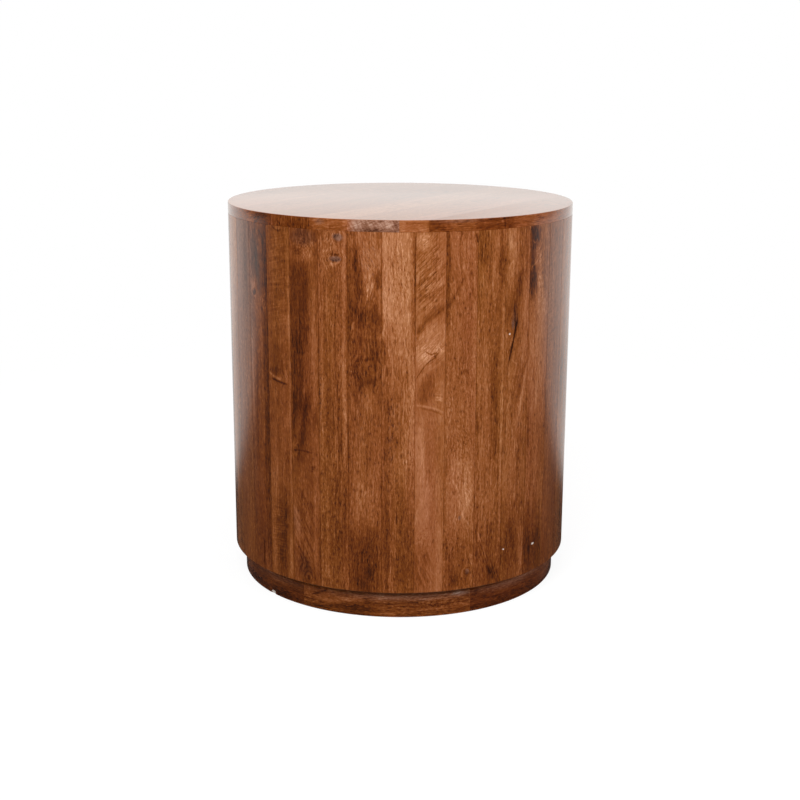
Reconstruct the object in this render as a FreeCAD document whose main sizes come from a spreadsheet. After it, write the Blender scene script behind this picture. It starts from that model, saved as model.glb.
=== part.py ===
import FreeCAD, Part
import math
import os

import Sketcher

# A round side table in solid wood. Bevelled staves are glued edge to edge into a drum and turned to a
# cylinder outside. Their backs stay flat. A flush top of edge-glued boards is screwed down from below
# through a panel that sits in a rebate of the staves. A second panel closes the bottom the same way.
# The drum stands on a recessed plinth of curved segments, under a smaller disc that leaves a shadow gap.
# The frame has +Z up, its origin on the floor on the drum's axis, and -Y towards the viewer.

# Lengths are in millimetres, angles in degrees and counts are whole numbers.
SIZES = (
    ("table_diameter", 450, "across the turned face of the staves and of the top"),
    ("table_height", 500, "from the floor to the upper face of the top"),
    ("top_thickness", 14, "the edge-glued boards of the top"),
    ("top_edge_chamfer", 1.2, "eases the upper edge of the top"),
    ("top_board_angle", 57, "direction of the boards, turned from +X towards +Y"),
    ("stave_count", 36, "staves around the drum"),
    ("stave_thickness", 18, "from a stave's flat back to its turned face"),
    ("stave_foot_chamfer", 0.8, "eases the lower outer edge of the drum"),
    ("stave_head_chamfer", 0.4, "the fine groove under the top"),
    ("first_seam_angle", -56.1, "stave seam at the left of the front, from -Y towards +X"),
    ("panel_thickness", 12, "plywood panels that close the drum"),
    ("panel_rebate_depth", 6, "how far the panels let into the staves"),
    ("panel_clearance", 0.2, "gap between a panel and its rebate"),
    ("plinth_height", 29, "curved segments of the plinth"),
    ("plinth_setback", 13, "drum face to plinth face"),
    ("plinth_width", 40, "a segment from its outer to its inner face"),
    ("plinth_edge_chamfer", 2, "eases the plinth's upper outer edge"),
    ("plinth_segment_count", 6, "segments around the plinth"),
    ("plinth_joint_angle", 25.2, "one plinth joint, from -Y towards +X"),
    ("base_disc_thickness", 8, "disc on the plinth, the height of the shadow gap"),
    ("base_disc_setback", 14, "plinth face to the disc's edge"),
    ("block_thickness", 18, "glue block behind a plinth joint, back to face"),
    ("block_height", 24, "glue block, upright"),
    ("block_angle", 18, "sector that a glue block covers behind its joint"),
    ("block_clearance", 0.2, "glue line between a block and the plinth"),
    ("felt_width", 24, "square felt pad under a plinth segment"),
    ("felt_thickness", 1, "felt pad, pressed by the table's weight"),
    ("screw_shank_diameter", 4, "hexagon-head wood screws"),
    ("screw_head_width", 8, "across the flats of the head"),
    ("screw_head_height", 3, "under the head to its face"),
    ("screw_tip_length", 4, "pointed end of a screw"),
    ("screw_clearance", 0.2, "added to a screw's diameter for its hole"),
    ("screw_tip_clearance", 1, "depth of a pilot hole past the screw's tip"),
    ("top_screw_length", 20, "through the upper panel into the top, under the head"),
    ("top_screw_count", 4, "screws that hold the top"),
    ("top_screw_inset", 52.8, "edge of the upper panel to the ring of those screws"),
    ("base_screw_length", 18, "through the base disc into the lower panel, under the head"),
    ("base_screw_count", 4, "screws that hold the plinth to the drum"),
    ("base_screw_inset", 23.8, "backs of the glue blocks to the ring of those screws"),
    ("cut_overrun", 5, "how far a cut starts outside the wood"),
)

# Widths of the front staves, from first_seam_angle on, as shares of the mean stave.
FRONT_STAVE_WIDTH_SHARES = (1.00, 1.00, 1.05, 0.97, 1.05, 1.015, 0.925, 1.025, 1.025, 1.01, 1.05, 1.00)

# Seams between the boards of the top, as shares of the top's radius from its centre.
TOP_SEAM_SHARES = (-0.664, -0.541, -0.293, -0.079, 0.208, 0.498, 0.755)

# Lengths that follow from the sheet.
DRUM_RADIUS = "sizes.table_diameter / 2"
DRUM_FOOT = "(sizes.felt_thickness + sizes.plinth_height + sizes.base_disc_thickness)"
STAVE_LENGTH = f"(sizes.table_height - sizes.top_thickness - {DRUM_FOOT})"
STAVE_BACK = f"({DRUM_RADIUS} - sizes.stave_thickness)"
REBATE_RADIUS = f"({STAVE_BACK} + sizes.panel_rebate_depth)"
PANEL_RADIUS = f"({REBATE_RADIUS} - sizes.panel_clearance)"
UPPER_PANEL_FOOT = "(sizes.table_height - sizes.top_thickness - sizes.panel_thickness)"
PLINTH_RADIUS = f"({DRUM_RADIUS} - sizes.plinth_setback)"
PLINTH_BACK = f"({PLINTH_RADIUS} - sizes.plinth_width)"
BASE_DISC_RADIUS = f"({PLINTH_RADIUS} - sizes.base_disc_setback)"
BASE_DISC_FOOT = "(sizes.felt_thickness + sizes.plinth_height)"
BLOCK_RADIUS = f"({PLINTH_BACK} - sizes.block_clearance)"
TOP_SCREW_RADIUS = f"({PANEL_RADIUS} - sizes.top_screw_inset)"
BASE_SCREW_RADIUS = f"({BLOCK_RADIUS} - sizes.block_thickness - sizes.base_screw_inset)"
SCREW_HOLE_DIAMETER = "(sizes.screw_shank_diameter + sizes.screw_clearance)"

FULL_TURN = 360.0
HALF_TURN = 180.0
QUARTER_TURN = 90.0
HEXAGON_SIDES = 6

doc = FreeCAD.newDocument("side_table")
sheet = doc.addObject("Spreadsheet::Sheet", "sizes")
for row, (alias, value, meaning) in enumerate(SIZES, start=1):
    sheet.set(f"A{row}", alias)
    sheet.set(f"B{row}", str(value))
    sheet.setAlias(f"B{row}", alias)
    sheet.set(f"C{row}", meaning)
doc.recompute()

# Every finished piece, in the order in which it is made.
pieces = []


def number(expression):
    """The value of an expression in the sheet's sizes."""
    return float(sheet.evalExpression(expression))


def keep(piece, label, height=0.0, turn=0.0):
    """Gives a finished piece its label and its place: lifted by height and turned about the drum's axis."""
    piece.Label = label
    rotation = FreeCAD.Rotation(FreeCAD.Vector(0, 0, 1), turn)
    piece.Placement = FreeCAD.Placement(FreeCAD.Vector(0, 0, height), rotation)
    pieces.append(piece)


def turn_of(front_angle):
    """Turns an angle counted from -Y towards +X into one counted from +X, where each piece is drawn."""
    return front_angle - QUARTER_TURN


def new_sketch(body, role, name, lift=None):
    """An empty sketch on one of the body's own origin planes, lifted off it by an expression."""
    sketch = body.newObject("Sketcher::SketchObject", name)
    plane = next(feature for feature in body.Origin.OriginFeatures if feature.Role == role)
    sketch.AttachmentSupport = [(plane, "")]
    sketch.MapMode = "FlatFace"
    if lift:
        sketch.setExpression("AttachmentOffset.Base.z", lift)
    return sketch


def set_size(sketch, constraint, name, expression):
    """Adds a driving constraint and binds it to the sheet."""
    index = sketch.addConstraint(constraint)
    sketch.renameConstraint(index, name)
    sketch.setExpression(f"Constraints.{name}", expression)


def add_polygon(sketch, corners, name):
    """Draws a closed outline. Each corner is two expressions, counted from the sketch's origin."""
    points = [FreeCAD.Vector(number(across), number(up), 0) for across, up in corners]
    first = sketch.GeometryCount
    last = first + len(points) - 1
    for index, point in enumerate(points):
        sketch.addGeometry(Part.LineSegment(point, points[(index + 1) % len(points)]), False)
    for side in range(first, last + 1):
        following = side + 1 if side < last else first
        sketch.addConstraint(Sketcher.Constraint("Coincident", side, 2, following, 1))
    for index, (across, up) in enumerate(corners):
        side = first + index
        for kind, value, axis in (("DistanceX", points[index].x, across), ("DistanceY", points[index].y, up)):
            if value == 0.0:
                axis_line = -2 if kind == "DistanceX" else -1
                sketch.addConstraint(Sketcher.Constraint("PointOnObject", side, 1, axis_line))
            else:
                constraint = Sketcher.Constraint(kind, -1, 1, side, 1, value)
                set_size(sketch, constraint, f"{name}_{kind[-1].lower()}{index}", axis)


def add_rectangle(sketch, left, bottom, right, top, name):
    """Draws an upright rectangle between four expressions."""
    add_polygon(sketch, ((left, bottom), (right, bottom), (right, top), (left, top)), name)


def add_circle(sketch, across, diameter, name):
    """Draws a circle centred on the sketch's X axis."""
    centre = FreeCAD.Vector(number(across), 0, 0)
    circle = Part.Circle(centre, FreeCAD.Vector(0, 0, 1), number(diameter) / 2)
    index = sketch.addGeometry(circle, False)
    set_size(sketch, Sketcher.Constraint("Diameter", index, number(diameter)), f"{name}_width", diameter)
    if centre.x == 0.0:
        sketch.addConstraint(Sketcher.Constraint("Coincident", index, 3, -1, 1))
    else:
        sketch.addConstraint(Sketcher.Constraint("PointOnObject", index, 3, -1))
        reach = Sketcher.Constraint("DistanceX", -1, 1, index, 3, centre.x)
        set_size(sketch, reach, f"{name}_reach", across)


def flat_backed_sector(body, radius, thickness, half_angle, name):
    """Draws a sector about +X with a round face, radial edges and a flat back."""
    sketch = new_sketch(body, "XY_Plane", name)
    outer = number(radius)
    back = outer - number(thickness)
    angle = math.radians(number(half_angle))
    top_outer = FreeCAD.Vector(outer * math.cos(angle), outer * math.sin(angle), 0)
    top_inner = FreeCAD.Vector(back, back * math.tan(angle), 0)
    low_outer = FreeCAD.Vector(top_outer.x, -top_outer.y, 0)
    low_inner = FreeCAD.Vector(top_inner.x, -top_inner.y, 0)
    circle = Part.Circle(FreeCAD.Vector(0, 0, 0), FreeCAD.Vector(0, 0, 1), outer)
    sketch.addGeometry(Part.ArcOfCircle(circle, -angle, angle), False)
    sketch.addGeometry(Part.LineSegment(top_inner, top_outer), False)
    sketch.addGeometry(Part.LineSegment(low_inner, top_inner), False)
    sketch.addGeometry(Part.LineSegment(low_outer, low_inner), False)
    face, upper, flat, lower = range(sketch.GeometryCount)
    sketch.addConstraint(
        [
            Sketcher.Constraint("Coincident", face, 3, -1, 1),
            Sketcher.Constraint("Coincident", face, 2, upper, 2),
            Sketcher.Constraint("Coincident", upper, 1, flat, 2),
            Sketcher.Constraint("Coincident", flat, 1, lower, 2),
            Sketcher.Constraint("Coincident", lower, 1, face, 1),
            Sketcher.Constraint("Symmetric", flat, 1, flat, 2, -1),
            Sketcher.Constraint("PointOnObject", -1, 1, upper),
            Sketcher.Constraint("PointOnObject", -1, 1, lower),
        ]
    )
    set_size(sketch, Sketcher.Constraint("Radius", face, outer), "face_radius", radius)
    set_size(sketch, Sketcher.Constraint("Angle", upper, angle), "half_angle", f"1 deg * {half_angle}")
    back_reach = Sketcher.Constraint("DistanceX", -1, 1, flat, 1, back)
    set_size(sketch, back_reach, "back_reach", f"{radius} - {thickness}")
    return sketch


def pad(body, sketch, length):
    """Raises a sketch by an expression."""
    feature = body.newObject("PartDesign::Pad", "pad")
    feature.Profile = sketch
    feature.setExpression("Length", length)
    return feature


def groove(body, sketch):
    """Turns a sketch's outlines away, all round the drum's axis."""
    feature = body.newObject("PartDesign::Groove", "groove")
    feature.Profile = sketch
    feature.ReferenceAxis = (sketch, ["V_Axis"])
    feature.Angle = FULL_TURN
    return feature


def pocket(body, sketch, depth, upwards):
    """Sinks a sketch into the body by an expression."""
    feature = body.newObject("PartDesign::Pocket", "pocket")
    feature.Profile = sketch
    feature.Reversed = upwards
    feature.setExpression("Length", depth)
    return feature


def pattern_round_axis(body, feature, sketch, count):
    """Repeats a feature evenly round the drum's axis."""
    doc.recompute()
    pattern = body.newObject("PartDesign::PolarPattern", "ring")
    pattern.Originals = [feature]
    pattern.Axis = (sketch, ["N_Axis"])
    pattern.Angle = FULL_TURN
    pattern.setExpression("Occurrences", count)
    body.Tip = pattern
    return pattern


def drill_ring(body, radius, count, depth):
    """Drills a ring of holes for screws, upwards from the body's lower face."""
    drilling = new_sketch(body, "XY_Plane", "screw_places")
    add_circle(drilling, radius, SCREW_HOLE_DIAMETER, "hole")
    holes = pocket(body, drilling, depth, True)
    pattern_round_axis(body, holes, drilling, count)


def add_chamfer(body, feature, radius, height, size):
    """Eases the round edge of a feature that has this radius and height."""
    doc.recompute()
    edge_number = next(
        place
        for place, edge in enumerate(feature.Shape.Edges, start=1)
        if isinstance(edge.Curve, Part.Circle)
        and math.isclose(edge.Curve.Radius, number(radius), rel_tol=1e-6)
        and math.isclose(edge.CenterOfMass.z, number(height), rel_tol=1e-6)
    )
    eased = body.newObject("PartDesign::Chamfer", "eased_edge")
    eased.Base = (feature, [f"Edge{edge_number}"])
    eased.setExpression("Size", size)


def make_staves():
    """The coopered drum: one body per stave, each with a rebate at both ends of its back."""
    count = int(number("sizes.stave_count"))
    front = FRONT_STAVE_WIDTH_SHARES[:count]
    others = max(count - len(front), 1)
    rest_share = (count - sum(front)) / others
    shares = list(front) + [rest_share] * (count - len(front))
    mean_angle = FULL_TURN / count
    seam = number("sizes.first_seam_angle")
    inside = f"{STAVE_BACK} - sizes.cut_overrun"
    rebate_top = f"{STAVE_LENGTH} - sizes.panel_thickness"
    chamfer_start = f"{DRUM_RADIUS} - sizes.stave_foot_chamfer"
    head_start = f"{STAVE_LENGTH} - sizes.stave_head_chamfer"
    for index, share in enumerate(shares, start=1):
        body = doc.addObject("PartDesign::Body", f"stave_{index:02d}")
        half_angle = f"({HALF_TURN} / sizes.stave_count * {share})"
        section = flat_backed_sector(body, DRUM_RADIUS, "sizes.stave_thickness", half_angle, "stave_section")
        pad(body, section, STAVE_LENGTH)
        trims = new_sketch(body, "XZ_Plane", "stave_ends")
        add_rectangle(trims, inside, "0", REBATE_RADIUS, "sizes.panel_thickness", "low")
        add_rectangle(trims, inside, rebate_top, REBATE_RADIUS, STAVE_LENGTH, "high")
        foot = ((chamfer_start, "0"), (DRUM_RADIUS, "0"), (DRUM_RADIUS, "sizes.stave_foot_chamfer"))
        add_polygon(trims, foot, "foot")
        head = ((f"{DRUM_RADIUS} - sizes.stave_head_chamfer", STAVE_LENGTH), (DRUM_RADIUS, head_start))
        add_polygon(trims, (*head, (DRUM_RADIUS, STAVE_LENGTH)), "head")
        groove(body, trims)
        middle = seam + mean_angle * share / 2
        keep(body, body.Name, number(DRUM_FOOT), turn_of(middle))
        seam += mean_angle * share


def make_panel(name, radius, thickness):
    """A plain round plywood panel."""
    body = doc.addObject("PartDesign::Body", name)
    outline = new_sketch(body, "XY_Plane", "panel_outline")
    add_circle(outline, "0", f"2 * {radius}", "panel")
    pad(body, outline, thickness)
    return body


def make_panels():
    """The panels in the staves' rebates and the disc between drum and plinth, drilled for their screws."""
    upper = make_panel("upper_panel", PANEL_RADIUS, "sizes.panel_thickness")
    drill_ring(upper, TOP_SCREW_RADIUS, "sizes.top_screw_count", "sizes.panel_thickness")
    keep(upper, upper.Name, number(UPPER_PANEL_FOOT), number("sizes.top_board_angle"))
    lower = make_panel("lower_panel", PANEL_RADIUS, "sizes.panel_thickness")
    depth = "sizes.base_screw_length - sizes.base_disc_thickness + sizes.screw_tip_clearance"
    drill_ring(lower, BASE_SCREW_RADIUS, "sizes.base_screw_count", depth)
    joint_turn = turn_of(number("sizes.plinth_joint_angle"))
    keep(lower, lower.Name, number(DRUM_FOOT), joint_turn)
    disc = make_panel("base_disc", BASE_DISC_RADIUS, "sizes.base_disc_thickness")
    drill_ring(disc, BASE_SCREW_RADIUS, "sizes.base_screw_count", "sizes.base_disc_thickness")
    keep(disc, disc.Name, number(BASE_DISC_FOOT), joint_turn)


def make_top():
    """The top: a turned and drilled blank, cut into the boards that it was glued up from."""
    blank = doc.addObject("PartDesign::Body", "top_blank")
    outline = new_sketch(blank, "XY_Plane", "top_outline")
    add_circle(outline, "0", "sizes.table_diameter", "top")
    disc = pad(blank, outline, "sizes.top_thickness")
    add_chamfer(blank, disc, DRUM_RADIUS, "sizes.top_thickness", "sizes.top_edge_chamfer")
    depth = "sizes.top_screw_length - sizes.panel_thickness + sizes.screw_tip_clearance"
    drill_ring(blank, TOP_SCREW_RADIUS, "sizes.top_screw_count", depth)
    edge_share = 1 + number("2 * sizes.cut_overrun / sizes.table_diameter")
    seams = (-edge_share, *TOP_SEAM_SHARES, edge_share)
    for index, (start, end) in enumerate(zip(seams, seams[1:]), start=1):
        strip = doc.addObject("Part::Box", f"board_strip_{index}")
        strip.setExpression("Length", "sizes.table_diameter + 2 * sizes.cut_overrun")
        strip.setExpression("Width", f"{DRUM_RADIUS} * {end - start}")
        strip.setExpression("Height", "sizes.top_thickness + 2 * sizes.cut_overrun")
        strip.setExpression("Placement.Base.x", f"-({DRUM_RADIUS} + sizes.cut_overrun)")
        strip.setExpression("Placement.Base.y", f"{DRUM_RADIUS} * {start}")
        strip.setExpression("Placement.Base.z", "-sizes.cut_overrun")
        board = doc.addObject("Part::Common", f"top_board_{index}")
        board.Base = blank
        board.Tool = strip
        lift = number("sizes.table_height - sizes.top_thickness")
        keep(board, board.Name, lift, number("sizes.top_board_angle"))


def make_plinth_segments():
    """The plinth: turned segments with an eased upper edge."""
    count = int(number("sizes.plinth_segment_count"))
    joint = number("sizes.plinth_joint_angle")
    for index in range(1, count + 1):
        body = doc.addObject("PartDesign::Body", f"plinth_segment_{index}")
        profile = new_sketch(body, "XZ_Plane", "plinth_profile")
        add_rectangle(profile, PLINTH_BACK, "0", PLINTH_RADIUS, "sizes.plinth_height", "wood")
        turned = body.newObject("PartDesign::Revolution", "turned")
        turned.Profile = profile
        turned.ReferenceAxis = (profile, ["V_Axis"])
        turned.Midplane = True
        turned.setExpression("Angle", f"{FULL_TURN} deg / sizes.plinth_segment_count")
        add_chamfer(body, turned, PLINTH_RADIUS, "sizes.plinth_height", "sizes.plinth_edge_chamfer")
        middle = joint + FULL_TURN / count * (index - 1 / 2)
        keep(body, body.Name, number("sizes.felt_thickness"), turn_of(middle))


def ring_of(shape, count, radius, first_angle, height):
    """Copies of one shape round the drum's axis, as a list of separate solids."""
    copies = []
    for index in range(count):
        angle = math.radians(turn_of(first_angle) + FULL_TURN / count * index)
        place = FreeCAD.Vector(radius * math.cos(angle), radius * math.sin(angle), height)
        solid = shape.copy()
        solid.Placement = FreeCAD.Placement(place, FreeCAD.Rotation(FreeCAD.Vector(0, 0, 1), math.degrees(angle)))
        copies.append(solid)
    return copies


def keep_group(name, solids):
    """Keeps identical small pieces together in one sub-part, as separate solids."""
    group = doc.addObject("Part::Feature", name)
    group.Shape = Part.makeCompound(solids)
    keep(group, name)


def screw_shape(length):
    """A hexagon-head wood screw that points upwards, with the underside of its head at its origin."""
    flats = number("sizes.screw_head_width")
    shank = number("sizes.screw_shank_diameter") / 2
    tip = number("sizes.screw_tip_length")
    outline = ((0, 0), (shank, 0), (shank, length - tip), (0, length))
    points = [FreeCAD.Vector(across, 0, along) for across, along in outline]
    face = Part.Face(Part.makePolygon([*points, points[0]]))
    stem = face.revolve(FreeCAD.Vector(0, 0, 0), FreeCAD.Vector(0, 0, 1), FULL_TURN)
    corner = flats / 2 / math.cos(math.pi / HEXAGON_SIDES)
    turns = [2 * math.pi * side / HEXAGON_SIDES for side in range(HEXAGON_SIDES + 1)]
    rim = [FreeCAD.Vector(corner * math.cos(turn), corner * math.sin(turn), 0) for turn in turns]
    drop = FreeCAD.Vector(0, 0, -number("sizes.screw_head_height"))
    head = Part.Face(Part.makePolygon(rim)).extrude(drop)
    return head.fuse(stem).removeSplitter().Solids[0]


def make_screws():
    """The screws that hold the top, and those that hold the plinth to the drum."""
    count = int(number("sizes.top_screw_count"))
    screw = screw_shape(number("sizes.top_screw_length"))
    radius = number(TOP_SCREW_RADIUS)
    board_turn = number("sizes.top_board_angle") + QUARTER_TURN
    keep_group("top_screws", ring_of(screw, count, radius, board_turn, number(UPPER_PANEL_FOOT)))
    count = int(number("sizes.base_screw_count"))
    screw = screw_shape(number("sizes.base_screw_length"))
    radius = number(BASE_SCREW_RADIUS)
    joint = number("sizes.plinth_joint_angle")
    keep_group("base_screws", ring_of(screw, count, radius, joint, number(BASE_DISC_FOOT)))


def make_glue_blocks():
    """A shaped block behind each joint of the plinth, hung from the base disc."""
    block = doc.addObject("PartDesign::Body", "glue_block")
    half_angle = "(sizes.block_angle / 2)"
    section = flat_backed_sector(block, BLOCK_RADIUS, "sizes.block_thickness", half_angle, "block_section")
    pad(block, section, "sizes.block_height")
    doc.recompute()
    count = int(number("sizes.plinth_segment_count"))
    height = number(f"{BASE_DISC_FOOT} - sizes.block_height")
    joint = number("sizes.plinth_joint_angle")
    keep_group("plinth_glue_blocks", ring_of(block.Shape, count, 0.0, joint, height))


def make_felt_pads():
    """A felt pad under the middle of each plinth segment."""
    width = number("sizes.felt_width")
    corner = FreeCAD.Vector(-width / 2, -width / 2, 0)
    felt = Part.makeBox(width, width, number("sizes.felt_thickness"), corner)
    count = int(number("sizes.plinth_segment_count"))
    middle = number("sizes.plinth_joint_angle") + HALF_TURN / count
    radius = number(f"{PLINTH_RADIUS} - sizes.plinth_width / 2")
    keep_group("felt_pads", ring_of(felt, count, radius, middle, 0.0))


def check_and_write():
    """Stops at the first feature or shape that failed, and writes one file for each piece."""
    doc.recompute()
    for item in doc.Objects:
        if "Invalid" in item.State or "Error" in item.State:
            raise RuntimeError(f"{item.Label} failed: {item.State}")
    for piece in pieces:
        if piece.Shape.isNull() or not piece.Shape.isValid() or not piece.Shape.Solids:
            raise RuntimeError(f"{piece.Label} has no valid shape")
    os.makedirs("parts", exist_ok=True)
    for piece in pieces:
        piece.Shape.exportStep(os.path.join("parts", f"{piece.Label}.step"))


make_staves()
make_panels()
make_top()
make_plinth_segments()
make_glue_blocks()
make_screws()
make_felt_pads()
check_and_write()
print(f"{len(pieces)} pieces written")
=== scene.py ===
import math
import random

import bmesh
import bpy
from mathutils import Euler, Matrix, Vector


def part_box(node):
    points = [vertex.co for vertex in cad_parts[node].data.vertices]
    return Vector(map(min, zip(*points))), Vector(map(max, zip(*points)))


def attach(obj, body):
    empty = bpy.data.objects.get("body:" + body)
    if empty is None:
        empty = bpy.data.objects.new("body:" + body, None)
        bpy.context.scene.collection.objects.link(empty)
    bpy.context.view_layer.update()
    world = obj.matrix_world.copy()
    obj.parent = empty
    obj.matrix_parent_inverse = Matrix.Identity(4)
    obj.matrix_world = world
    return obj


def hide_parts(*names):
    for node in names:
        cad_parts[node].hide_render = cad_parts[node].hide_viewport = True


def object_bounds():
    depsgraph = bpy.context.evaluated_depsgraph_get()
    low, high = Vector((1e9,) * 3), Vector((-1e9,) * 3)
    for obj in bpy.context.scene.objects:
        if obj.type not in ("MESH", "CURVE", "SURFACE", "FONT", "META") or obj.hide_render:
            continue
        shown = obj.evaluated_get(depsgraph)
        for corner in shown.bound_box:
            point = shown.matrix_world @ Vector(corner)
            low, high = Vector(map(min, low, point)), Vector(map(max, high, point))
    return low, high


# A round side table: a drum of lacquered wooden staves under a flush top, on a recessed plinth.
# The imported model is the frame. The staves, the boards of the top and the plinth's segments are built
# again here with finer outlines, each in the place of its own node, and every piece gets its finish.
# Everything is in metres. A front angle is counted from -Y, where the camera stands, towards +X.

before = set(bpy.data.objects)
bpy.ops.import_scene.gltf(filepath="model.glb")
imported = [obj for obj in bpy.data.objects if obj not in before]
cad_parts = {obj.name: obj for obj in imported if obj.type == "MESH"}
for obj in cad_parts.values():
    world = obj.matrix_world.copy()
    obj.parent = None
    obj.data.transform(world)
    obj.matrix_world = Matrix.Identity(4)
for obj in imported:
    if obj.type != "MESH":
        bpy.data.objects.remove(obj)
cad_low, cad_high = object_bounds()

MM = 0.001
BODY = "root"
DRUM_RADIUS = (cad_high[0] - cad_low[0]) / 2
TABLE_HEIGHT = cad_high[2]


# Signals: arithmetic on shader sockets, so that a material reads like a formula.


def plug(tree, entry, value):
    """Feeds a node's input from a signal, or sets it to a constant."""
    if isinstance(value, Signal):
        tree.links.new(value.socket, entry)
    else:
        entry.default_value = value


class Signal:
    """A number, a vector or a shader, as the output of a node."""

    def __init__(self, tree, socket):
        self.tree = tree
        self.socket = socket

    def math(self, operation, *others):
        return combine(self.tree, operation, self, *others)

    def __add__(self, other):
        return self.math("ADD", other)

    def __sub__(self, other):
        return self.math("SUBTRACT", other)

    def __rsub__(self, other):
        return combine(self.tree, "SUBTRACT", other, self)

    def __mul__(self, other):
        return self.math("MULTIPLY", other)

    def __truediv__(self, other):
        return self.math("DIVIDE", other)

    def times_plus(self, factor, other):
        """The signal times a factor, plus something else, in one node."""
        return self.math("MULTIPLY_ADD", factor, other)

    def bell(self):
        """1 where the value is 0, falling to 0 on both sides."""
        return (self * self * -1.0).math("EXPONENT")

    def smooth(self, start, end):
        """0 up to start, 1 from end on, and a smooth rise between. Start may be the larger."""
        rising = start <= end
        values = (self, min(start, end), max(start, end), float(not rising), float(rising))
        return output_of(self.tree, "MapRange", dict(enumerate(values)), interpolation_type="SMOOTHSTEP")


def output_of(tree, kind, entries, output=0, **settings):
    """An output of a new shader node. Entries give its inputs, by name or by number, signals or constants."""
    node = tree.nodes.new(f"ShaderNode{kind}")
    for name, setting in settings.items():
        setattr(node, name, setting)
    for entry, value in entries.items():
        plug(tree, node.inputs[entry], value)
    return Signal(tree, node.outputs[output])


def combine(tree, operation, *values):
    """One maths node. Its values are signals or numbers."""
    return output_of(tree, "Math", dict(enumerate(values)), operation=operation)


def vector_of(tree, x, y, z):
    return output_of(tree, "CombineXYZ", {"X": x, "Y": y, "Z": z})


def parts_of(vector):
    node = vector.tree.nodes.new("ShaderNodeSeparateXYZ")
    plug(vector.tree, node.inputs[0], vector)
    return [Signal(vector.tree, output) for output in node.outputs]


def length_of(vector):
    return output_of(vector.tree, "VectorMath", {0: vector}, "Value", operation="LENGTH")


def local(vector, place, size, turn=0.0):
    """The vector as seen from a place, turned by degrees and measured in units of a size."""
    rotation = (0.0, 0.0, math.radians(turn))
    entries = {"Vector": vector, "Location": place, "Rotation": rotation, "Scale": size}
    return output_of(vector.tree, "Mapping", entries, vector_type="TEXTURE")


def noise(vector, detail=2.0, roughness=0.5):
    """Noise from 0 to 1 with one cell per unit of the vector."""
    entries = {"Vector": vector, "Scale": 1.0, "Detail": detail, "Roughness": roughness}
    return output_of(vector.tree, "TexNoise", entries)


def ramp(factor, stops):
    """Turns a signal into a colour between named stops."""
    node = factor.tree.nodes.new("ShaderNodeValToRGB")
    entries = node.color_ramp.elements
    while len(entries) < len(stops):
        entries.new(0.5)
    for entry, (place, color) in zip(entries, stops):
        entry.position = place
        entry.color = (*color, 1.0)
    plug(factor.tree, node.inputs[0], factor)
    return Signal(factor.tree, node.outputs[0])


# Where the mix node keeps its factor, its two colours and the colour that it makes.
MIX_FACTOR, MIX_FIRST, MIX_SECOND, MIX_RESULT = 0, 6, 7, 2


def mixed_color(factor, first, second):
    entries = {MIX_FACTOR: factor, MIX_FIRST: first, MIX_SECOND: second}
    return output_of(factor.tree, "Mix", entries, MIX_RESULT, data_type="RGBA")


def bump(tree, shader, entry, height, distance, strength):
    """Lets a height, in units of a distance, stand up as relief in one of a shader's normals."""
    entries = {"Strength": strength, "Distance": distance, "Height": height}
    plug(tree, shader.inputs[entry], output_of(tree, "Bump", entries))


def new_material(name):
    """An empty material, its tree and the shader to build on."""
    material = bpy.data.materials.new(name)
    material.use_nodes = True
    tree = material.node_tree
    tree.nodes.clear()
    output = tree.nodes.new("ShaderNodeOutputMaterial")
    shader = tree.nodes.new("ShaderNodeBsdfPrincipled")
    tree.links.new(shader.outputs[0], output.inputs["Surface"])
    return material, tree, shader


def turned_position(tree, turn=0.0):
    """The place in the table's frame, turned about its axis by degrees."""
    place = output_of(tree, "TexCoord", {}, "Object")
    entries = {"Vector": place, "Angle": math.radians(turn)}
    return output_of(tree, "VectorRotate", entries, rotation_type="Z_AXIS")


# Lacquered wood.

# Wood tones from 0, a burnt streak, to 1, pale figure. One scale leans to red, one to gold, one to grey.
RED_TONES = (
    (0.00, (0.020, 0.003, 0.000)),
    (0.17, (0.080, 0.013, 0.000)),
    (0.30, (0.145, 0.028, 0.001)),
    (0.43, (0.227, 0.053, 0.008)),
    (0.57, (0.320, 0.090, 0.026)),
    (0.70, (0.415, 0.144, 0.060)),
    (0.83, (0.520, 0.211, 0.102)),
    (1.00, (0.672, 0.335, 0.200)),
)
GOLD_TONES = (
    (0.00, (0.019, 0.004, 0.000)),
    (0.17, (0.077, 0.016, 0.000)),
    (0.30, (0.141, 0.032, 0.000)),
    (0.43, (0.223, 0.059, 0.004)),
    (0.57, (0.316, 0.099, 0.018)),
    (0.70, (0.410, 0.156, 0.050)),
    (0.83, (0.516, 0.225, 0.090)),
    (1.00, (0.665, 0.348, 0.185)),
)
GREY_TONES = (
    (0.00, (0.020, 0.010, 0.007)),
    (0.30, (0.100, 0.046, 0.030)),
    (0.57, (0.240, 0.140, 0.105)),
    (1.00, (0.640, 0.500, 0.420)),
)
RAW_WOOD = (0.80, 0.70, 0.62, 1.0)
# The near black of the painted shade inside the stave's crack.
CRACK_SHADE_COLOR = (0.006, 0.005, 0.006, 1.0)

# Cells of noise: their width and length in millimetres, and how detailed and how rough the noise is.
BAND_CELLS = (22, 600, 3, 0.55)
STREAK_CELLS = (3, 120, 3, 0.65)
CLOUD_CELLS = (15, 34, 3, 0.6)
SHORT_CELLS = (1.8, 3.6, 2, 0.6)
FIBRE_CELLS = (1.7, 18, 3, 0.75)
PORE_CELLS = (1.2, 6, 1, 0.5)
RAG_CELLS = (3.4, 22, 4, 0.7)
LIVELY_CELLS = (16, 70, 1)
GOLD_CELLS = (30, 300, 1)
CURL_CELLS = (12, 15)
CHIP_CELLS = (0.7, 0.9)
SWELL_CELLS = (26, 110)

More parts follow.
